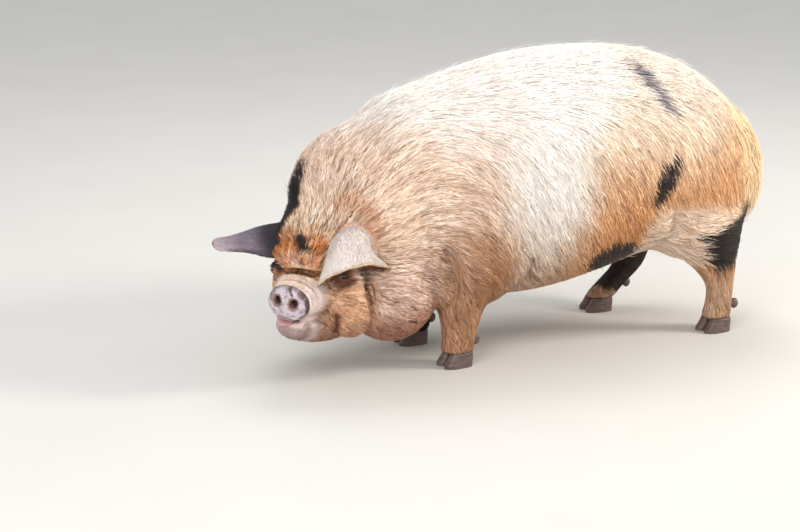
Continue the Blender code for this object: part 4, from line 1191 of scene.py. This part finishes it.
class SkinMap:
    """The skin as arrays: triangles with points, normals and UV corners."""

    def __init__(self, target):
        mesh = target.data
        mesh.calc_loop_triangles()
        self.points, self.normals = surface(mesh)
        self.corners = array_of(mesh.loop_triangles, "vertices", 3, int)
        loops = array_of(mesh.loop_triangles, "loops", 3, int)
        self.uv = array_of(mesh.uv_layers["OFBake"].data, "uv", 2)[loops]
        a, b, c = (self.points[self.corners[:, i]] for i in range(3))
        self.areas = np.linalg.norm(np.cross(b - a, c - a), axis=1) / 2
        self.middles = (a + b + c) / 3
        self.tree = BVHTree.FromPolygons(self.points.tolist(), self.corners.tolist())

    def seated(self, triangles, rng):
        """Random places in the given triangles: points, normals and UV."""
        first, second = np.sqrt(rng.random(len(triangles))), rng.random(len(triangles))
        share = np.stack([1 - first, first * (1 - second), first * second], axis=1)[:, :, None]
        spots = (self.points[self.corners[triangles]] * share).sum(1)
        up = unit((self.normals[self.corners[triangles]] * share).sum(1))
        return spots, up, (self.uv[triangles] * share).sum(1)

    def nearest(self, points):
        found = [self.tree.find_nearest(p)[:2] for p in points.tolist()]
        return np.array([f[0] for f in found]), np.array([f[1] for f in found])


def rotated(vectors, axes, angles):
    c, s = np.cos(angles)[:, None], np.sin(angles)[:, None]
    return vectors * c + np.cross(axes, vectors) * s + axes * (axes * vectors).sum(1, keepdims=True) * (1 - c)


def sheaves(skin, weights, rng):
    """Lines that run along the lie of the coat, one row of points for each step."""
    spots, up, _ = skin.seated(rng.choice(len(weights), size=SHEAF_COUNT, p=weights), rng)
    step = coat_form(spots, up)[0] * 0.2
    turn = 0.1 * wobble(spots, 75.0, 2.0) + rng.normal(0.0, 0.09, SHEAF_COUNT)
    rows = [spots]
    for _ in range(SHEAF_STEPS):
        lie = rotated(hair_lie(spots, up), up, turn)
        spots, up = skin.nearest(spots + lie * step[:, None])
        turn = turn * 0.9 + rng.normal(0.0, 0.03, SHEAF_COUNT)
        rows.append(spots)
    return np.stack(rows)


def nearest_lines(rows, roots):
    """For each root the nearest step and line of the sheaves, and how far away it is."""
    starts = SHEAF_STEPS - 4
    tree = KDTree(starts * SHEAF_COUNT)
    for index, spot in enumerate(rows[:starts].reshape(-1, 3).tolist()):
        tree.insert(spot, index)
    tree.balance()
    found = np.array([tree.find(spot)[1:] for spot in roots.tolist()])
    return *np.divmod(found[:, 0].astype(int), SHEAF_COUNT), found[:, 1]


def tuft_colours(roots, up, spots, line_tone, rng):
    """Colours of the five points of each tuft: darker at the root, paler at the tip, partly the hair's own
    colour, partly painted shade between the hairs and a painted highlight on their tips.
    """
    count = len(roots)
    shade, _ = coat_colour(spots, up)
    pale = smooth(0.7, 0.92, shade.mean(1))
    local = in_frame(roots, HEAD)
    brow = smooth(1.15, 0.75, ellipse(local, (0.0, 0.0, 0.06), (0.09, 0.07, 0.066)))
    calm = np.max([smooth(0.0095, 0.0075, ear.at(roots, up)[0]) for ear in EAR_MAPS], axis=0)
    calm = 0.75 * np.maximum(calm, smooth(-0.035, -0.06, local[:, 1]))
    tone = line_tone + rng.normal(0.0, 0.045, count)
    tone = tone * (1 - 0.7 * pale + 0.8 * brow) * (1 - calm) + 0.03
    warm = rng.normal(0.0, 0.018, count)[:, None] * np.array([0.4, 0.0, -1.0])
    root_level = (-0.26 + 0.12 * pale) * (1 - 0.6 * calm)
    bright = brow * smooth(0.3, 0.5, shade.mean(1))
    levels = []
    for level, brown, cream in ((root_level, 0.6, 0.0), *TUFT_LEVELS):
        amount = np.clip(1.0 + tone + level, 0.05, 1.4)[:, None]
        deep = shade * amount ** np.array(TONE_POWERS)
        # On the brow, roots darkened towards brown and tips lightened towards cream: partly painted shade between
        # the hairs and a painted highlight on their tips.
        deep = mixed(deep, ROOT_SHADE_BROWN, bright * np.clip(brown - 1.2 * tone, 0.0, 0.85) * (brown > 0))
        deep = mixed(deep, TIP_HIGHLIGHT_CREAM, bright * np.clip(cream + 1.2 * tone, 0.0, 0.85) * (cream > 0))
        levels.append(np.clip(deep + warm, 0.0, 1.0))
    return np.stack(levels, axis=1)


def tuft_arrays(skin, count, seed):
    """Points of each tuft, their normals, UV and colours. Tufts on one line share its course and tone."""
    rng = np.random.default_rng(seed)
    weights = skin.areas * coat_form(skin.middles, skin.normals[skin.corners].mean(1))[3]
    weights /= weights.sum()
    rows = sheaves(skin, weights, rng)
    line_tone = rng.normal(0.01, 0.085, SHEAF_COUNT)
    line_tone -= (rng.random(SHEAF_COUNT) < 0.25) * rng.uniform(0.1, 0.3, SHEAF_COUNT)

    roots, up, uv = skin.seated(rng.choice(len(weights), size=count, p=weights), rng)
    at, own, away = nearest_lines(rows, roots)
    length, width, lift, _, gather = coat_form(roots, up)
    length = length * rng.uniform(0.72, 1.22, count)
    width = width * rng.uniform(0.65, 1.35, count)
    lift = lift * rng.uniform(0.3, 1.5, count)
    stray = (rng.random(count) < 0.022) & (length > 0.03) & (roots[:, 2] > 0.2)
    length = length * np.where(stray, 1.2, 1.0)
    width = width * np.where(stray, 0.6, 1.0)
    lift = np.where(stray, np.minimum(lift * 2.8, 0.024), lift)
    lie = rotated(hair_lie(roots, up), up, rng.normal(0.0, 0.1, count))
    half, half_up = skin.nearest(roots + lie * (length * 0.5)[:, None])
    rise = half_up * (lift * 0.75 + 0.0006)[:, None]
    onward = unit(lie - half_up * (lie * half_up).sum(1, keepdims=True))
    onward = rotated(onward, half_up, rng.normal(0.0, 0.13, count))
    end, end_up = skin.nearest(half + onward * (length * 0.5)[:, None])
    tip = end + end_up * (lift + 0.0004)[:, None]
    gather = gather * smooth(0.016, 0.004, away) * rng.uniform(0.4, 1.1, count)
    gather = np.clip(gather, 0.0, 0.9)[:, None]
    tip = tip + (rows[at + 4, own] + end_up * lift[:, None] - tip) * gather
    middle = half + rise
    middle = middle + (rows[at + 2, own] + rise - middle) * gather * 0.5
    side = unit(np.cross(onward, half_up))
    w, h = (width / 2)[:, None], (width * 0.3)[:, None]
    root = roots - up * 0.0012 - lie * 0.001
    points = [root, middle + side * w, middle - side * w, middle + half_up * h, tip]
    normals = [up, half_up + side * 0.8, half_up - side * 0.8, half_up, end_up * 0.8 + onward * 0.2]
    spread = np.clip(length * 0.12, 0.0008, 0.006)[:, None]
    spots = roots + lie * (length * 0.4)[:, None] + rng.normal(0.0, 1.0, (count, 3)) * spread
    colours = tuft_colours(roots, up, spots, line_tone[own], rng)
    return np.stack(points, axis=1), np.stack(normals, axis=1), uv, colours


# The faces of a tuft of five points, and where each point lies in its patch.
TUFT_FACES = np.array(((0, 1, 3), (0, 3, 2), (0, 2, 1), (1, 4, 3), (3, 4, 2), (2, 4, 1)))
TUFT_SPOTS = np.array(((0.5, 0.0), (1.0, 0.5), (0.0, 0.5), (0.5, 0.5), (0.5, 1.0))) - 0.5


def mesh_of(name, points, faces, uv, colours, normals=None):
    """A mesh with a UV map, a colour at each point and, where given, normals."""
    mesh = bpy.data.meshes.new(name)
    mesh.vertices.add(len(points))
    mesh.vertices.foreach_set("co", points.astype(np.float32).ravel())
    mesh.loops.add(len(faces) * 3)
    mesh.loops.foreach_set("vertex_index", faces.astype(np.int32).ravel())
    mesh.polygons.add(len(faces))
    mesh.polygons.foreach_set("loop_start", np.arange(0, len(faces) * 3, 3, dtype=np.int32))
    mesh.update(calc_edges=True)
    mesh.uv_layers.new(name="OFBake")
    mesh.uv_layers["OFBake"].data.foreach_set("uv", uv.astype(np.float32).ravel())
    coloured(mesh, colours)
    mesh.shade_smooth()
    if normals is not None:
        normals = normals / np.linalg.norm(normals, axis=1, keepdims=True)
        mesh.normals_split_custom_set_from_vertices(normals.tolist())
    return mesh


def coloured(mesh, colours):
    layer = mesh.color_attributes.new(name="coat", type="FLOAT_COLOR", domain="POINT")
    values = np.ones((len(colours), 4), np.float32)
    values[:, :3] = linear(colours)
    layer.data.foreach_set("color", values.ravel())


def coat_pieces(skin, material):
    """The tufts, in meshes of a bearable size, sorted from the head to the rump."""
    verts, normals, uv, colours = tuft_arrays(skin, TUFT_COUNT, TUFT_SEED)
    order = np.argsort(verts[:, 0, 1])
    made = []
    for number, start in enumerate(range(0, len(order), PIECE_TUFTS)):
        some = order[start : start + PIECE_TUFTS]
        count = len(some)
        faces = (TUFT_FACES[None] + 5 * np.arange(count)[:, None, None]).reshape(-1, 3)
        corner = (uv[some][:, None, :] + TUFT_SPOTS[None] * PATCH).reshape(-1, 2)
        corner = np.clip(corner, 0.001, 0.999)
        mesh = mesh_of(
            f"fur_{number}",
            verts[some].reshape(-1, 3) + PLACE,
            faces,
            corner[faces.ravel()],
            colours[some].reshape(-1, 3),
            normals[some].reshape(-1, 3),
        )
        mesh.materials.append(material)
        made.append(new_object(f"fur_{number}", mesh))
    return made


def principled(name, roughness, subsurface=0.0, specular=0.4):
    material = bpy.data.materials.new(name)
    material.use_nodes = True
    shader = material.node_tree.nodes["Principled BSDF"]
    shader.inputs["Roughness"].default_value = roughness
    shader.inputs["Subsurface Weight"].default_value = subsurface
    shader.inputs["Subsurface Radius"].default_value = (0.01, 0.004, 0.002)
    shader.inputs["Subsurface Scale"].default_value = 0.4
    shader.inputs["Specular IOR Level"].default_value = specular
    return material


def new_node(tree, kind, **values):
    """A new shader node, with these of its inputs set."""
    made = tree.nodes.new(f"ShaderNode{kind}")
    for name, value in values.items():
        made.inputs[name.replace("_", " ")].default_value = value
    return made


def noise_node(tree, scale, detail, stretch=None):
    texture = new_node(tree, "TexNoise", Scale=scale, Detail=detail)
    vector = new_node(tree, "TexCoord").outputs["Object"]
    if stretch is not None:
        mapping = new_node(tree, "Mapping", Scale=stretch)
        tree.links.new(vector, mapping.inputs["Vector"])
        vector = mapping.outputs["Vector"]
    tree.links.new(vector, texture.inputs["Vector"])
    return texture


def bumped(material, layers):
    """Bump from several noises, each with its scale, detail, height in metres and stretch."""
    tree = material.node_tree
    before = None
    for scale, detail, height, stretch in layers:
        bump = new_node(tree, "Bump", Strength=0.8, Distance=height)
        tree.links.new(noise_node(tree, scale, detail, stretch).outputs["Fac"], bump.inputs["Height"])
        if before is not None:
            tree.links.new(before.outputs["Normal"], bump.inputs["Normal"])
        before = bump
    tree.links.new(before.outputs["Normal"], tree.nodes["Principled BSDF"].inputs["Normal"])


def varied(material, spread, scale, low, high, colour=None, stretch=None):
    """Colour stored at the points, or one given, lightened and darkened by a noise."""
    tree = material.node_tree
    if colour is None:
        source = new_node(tree, "Attribute")
        source.attribute_name = "coat"
    else:
        source = new_node(tree, "RGB")
        source.outputs["Color"].default_value = (*linear(np.array(colour)), 1.0)
    ramp = new_node(tree, "MapRange", From_Min=0.5 - spread, From_Max=0.5 + spread, To_Min=low, To_Max=high)
    tree.links.new(noise_node(tree, scale, 3.0, stretch).outputs["Fac"], ramp.inputs["Value"])
    mix = new_node(tree, "Mix")
    mix.data_type = "RGBA"
    mix.blend_type = "MULTIPLY"
    mix.inputs["Factor"].default_value = 1.0
    tree.links.new(source.outputs["Color"], mix.inputs["A"])
    tree.links.new(ramp.outputs["Result"], mix.inputs["B"])
    tree.links.new(mix.outputs["Result"], tree.nodes["Principled BSDF"].inputs["Base Color"])
    return material


def skin_material():
    material = principled("skin", roughness=0.62, subsurface=0.12, specular=0.35)
    bumped(material, ((90.0, 4.0, 0.0012, None), (420.0, 3.0, 0.0005, None)))
    return varied(material, 0.12, 330.0, 0.8, 1.12)


def fur_material():
    return varied(principled("fur", roughness=0.55, specular=0.28), 0.2, 900.0, 0.86, 1.1)


def eye_mesh(name, side):
    """An eyeball whose front bulges a little, with white, iris and pupil as colours at its points."""
    centre, outward = eye_place(side)
    shape = bmesh.new()
    bmesh.ops.create_uvsphere(shape, u_segments=48, v_segments=32, radius=1.0)
    points = np.array([v.co[:] for v in shape.verts])
    gaze = points @ np.array(outward)
    bulge = 1.0 - 0.03 + 0.03 * smooth(0.8, 0.98, gaze)
    for vertex, swell in zip(shape.verts, bulge):
        vertex.co = HEAD @ (centre + vertex.co * EYE_RADIUS * swell)
    bmesh.ops.triangulate(shape, faces=shape.faces)
    made = from_bmesh(name, shape)
    made.data.shade_smooth()
    angle = np.degrees(np.arccos(np.clip(gaze, -1, 1)))
    colour = blend(EYE_PUPIL, EYE_IRIS, smooth(12.0, 15.0, angle))
    colour = mixed(colour, EYE_RIM, smooth(27.0, 31.0, angle))
    colour = mixed(colour, EYE_WHITE, smooth(36.0, 42.0, angle))
    coloured(made.data, colour)
    unwrapped(made)
    return made


def plain_piece(name, host, material):
    host.name = name
    host.data.name = name
    host.data.shade_smooth()
    host.data.materials.clear()
    host.data.materials.append(material)
    return host


def placed(host):
    host.data.transform(Matrix.Translation(PLACE))
    return host


def claws_of(material):
    for foot, stations, turn in FEET:
        for side, place in ((1, "left"), (-1, "right")):
            for kind in ("claw", "dewclaw"):
                if kind == "claw":
                    body = claw_body(*stations[-1][:2], side, turn)
                else:
                    body = dewclaw_body(*stations[-2][:3], side, turn)
                name = f"foot_{foot}_{kind}_{place}"
                unwrapped(body)
                piece = placed(plain_piece(f"skin_{name}", body, material))
                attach(piece, "root")
                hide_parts(name)


def lashes(material):
    """Pale lashes along the upper lid of each eye, each a thin three-sided cone bent once."""
    rng = np.random.default_rng(9)
    verts, faces = [], []
    for side, shortest, longest in LASH_LENGTHS:
        eye, outward = eye_place(side)
        across = outward.cross(Vector((0, 0, 1))).normalized()
        upward = across.cross(outward)
        for i in range(LASH_COUNT):
            t = -1.0 + 2.0 * (i + rng.uniform(-0.4, 0.4)) / (LASH_COUNT - 1)
            lid = eye + outward * (0.015 - 0.0035 * t * t) + across * (0.0105 * t)
            lid += upward * 0.0052 * math.sqrt(max(0.0, 1 - t * t))
            grow = outward * 0.8 + upward * rng.uniform(-0.35, 0.15)
            grow = (grow + across * (0.55 * t + rng.uniform(-0.12, 0.12))).normalized()
            grow *= rng.uniform(shortest, longest)
            start = len(verts)
            bend = lid + grow * 0.55 - upward * 0.0006
            for spot, size in ((lid - outward * 0.0015, LASH_THICK), (bend, LASH_THICK * 0.8)):
                for a in (0, 2.1, 4.2):
                    verts.append(HEAD @ (spot + across * size * math.cos(a) + upward * size * math.sin(a)))
            verts.append(HEAD @ (lid + grow))
            for k in range(3):
                m = (k + 1) % 3
                corners = ((k, m, 3 + m), (k, 3 + m, 3 + k), (3 + k, 3 + m, 6))
                faces += [tuple(start + corner for corner in face) for face in corners]
            faces.append((start + 2, start + 1, start))
    points = np.array([v[:] for v in verts])
    uv = np.tile(np.array([[0.4, 0.4], [0.6, 0.4], [0.5, 0.6]]), (len(faces), 1))
    colours = np.tile(LASH_PALE, (len(points), 1))
    mesh = mesh_of("lashes", points + PLACE, np.array(faces), uv, colours)
    mesh.materials.append(material)
    return new_object("lashes", mesh)


def soft_light(name, spot, target, size, power, colour=(1.0, 1.0, 1.0)):
    lamp = bpy.data.lights.new(name, "AREA")
    lamp.shape = "DISK"
    lamp.size = size
    lamp.energy = power
    lamp.color = colour
    host = bpy.data.objects.new(name, lamp)
    host.location = spot
    host.rotation_euler = (Vector(target) - Vector(spot)).to_track_quat("-Z", "Y").to_euler()
    bpy.context.scene.collection.objects.link(host)


def studio():
    world = bpy.data.worlds.new("studio")
    bpy.context.scene.world = world
    world.use_nodes = True
    world.node_tree.nodes["Background"].inputs["Color"].default_value = (0.95, 0.97, 1.0, 1.0)
    world.node_tree.nodes["Background"].inputs["Strength"].default_value = 0.85
    soft_light("sun", (1.9, 3.3, 2.2), (0.0, 0.2, 0.35), 1.2, 138.0, (1.0, 0.95, 0.87))
    soft_light("sky", (-1.3, 0.6, 3.3), (0.0, 0.0, 0.3), 1.8, 40.0)
    soft_light("fill", (2.6, -2.9, 1.9), (0.1, -0.4, 0.25), 2.4, 95.0)
    bpy.context.scene.view_settings.view_transform = "Standard"
    bpy.ops.mesh.primitive_plane_add(size=1.0, location=(0.0, 0.0, 0.0))
    floor = bpy.context.object
    floor.name = "floor"
    floor.data.transform(Matrix.Diagonal((14.0, 14.0, 1.0, 1.0)))
    material = principled("floor", roughness=0.9, specular=0.2)
    floor.data.materials.append(varied(material, 0.2, 3.0, 0.985, 1.015, FLOOR_GREY))


# The camera's place and axes, fitted to the photograph's view.
CAMERA_PLACE = (3.8936, -2.1267, 1.2771)


def camera():
    lens = bpy.data.cameras.new("camera")
    lens.lens = 93.0
    lens.sensor_width = 36.0
    host = bpy.data.objects.new("camera", lens)
    right = Vector((0.43837, 0.89879, 0.0))
    up = Vector((-0.21744, 0.10605, 0.9703))
    back = Vector((0.8721, -0.42535, 0.24192))
    turn = Matrix((right, up, back)).transposed().to_4x4()
    host.matrix_world = Matrix.Translation(CAMERA_PLACE) @ turn
    bpy.context.scene.collection.objects.link(host)
    bpy.context.scene.camera = host


FLESH_NODES = (
    "head", "snout", "jaw", "neck", "torso", "tail", "ear_left", "ear_right",
    "leg_fore_left", "leg_fore_right", "leg_hind_left", "leg_hind_right",
    "shank_fore_left", "shank_fore_right", "shank_hind_left", "shank_hind_right",
)


def main():
    body = dressed_skin()
    unwrapped(body)
    skin = SkinMap(body)
    colours, bare = coat_colour(skin.points, skin.normals)
    pink = 0.12 * (1 - bare) * smooth(0.25, 0.5, colours.mean(1))
    # The skin under the coat darker than the hair: partly its own tint, partly painted shade in the gaps between
    # the hairs.
    covered = mixed(colours * UNDER_COAT_SHADE, PINK_SKIN, pink)
    covered = mixed(covered, colours, smooth(-0.035, -0.06, in_frame(skin.points, HEAD)[:, 1]))
    coloured(body.data, np.where(bare[:, None] > 0.5, colours, covered))
    placed(plain_piece("skin", body, skin_material()))
    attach(body, "root")
    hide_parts(*FLESH_NODES)
    fur = fur_material()
    for piece in coat_pieces(skin, fur):
        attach(piece, "root")
        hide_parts(*FLESH_NODES)
    lash = lashes(fur)
    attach(lash, "root")
    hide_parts("head")

    wet = varied(principled("eye", roughness=0.06, specular=0.6), 0.15, 700.0, 0.88, 1.1)
    for side, place in ((1, "left"), (-1, "right")):
        eye = placed(plain_piece(f"eyeball_{place}", eye_mesh("eye", side), wet))
        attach(eye, "root")
        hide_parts(f"eye_{place}")

    horn = varied(principled("horn", roughness=0.45), 0.16, 40.0, 0.72, 1.3, HORN_BROWN, (1.0, 1.0, 5.0))
    bumped(horn, ((60.0, 4.0, 0.001, (1.0, 1.0, 9.0)),))
    claws_of(horn)

    flesh = principled("tongue_flesh", roughness=0.35, subsurface=0.2)
    varied(flesh, 0.15, 300.0, 0.88, 1.1, TONGUE_PINK)
    bumped(flesh, ((600.0, 3.0, 0.0004, None),))
    tongue = ellipsoid(TONGUE_CENTRE, TONGUE_RADII, SNOUT, 48, 24)
    unwrapped(tongue)
    placed(plain_piece("tongue_skin", tongue, flesh))
    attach(tongue, "root")
    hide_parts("tongue")

    studio()
    camera()


main()
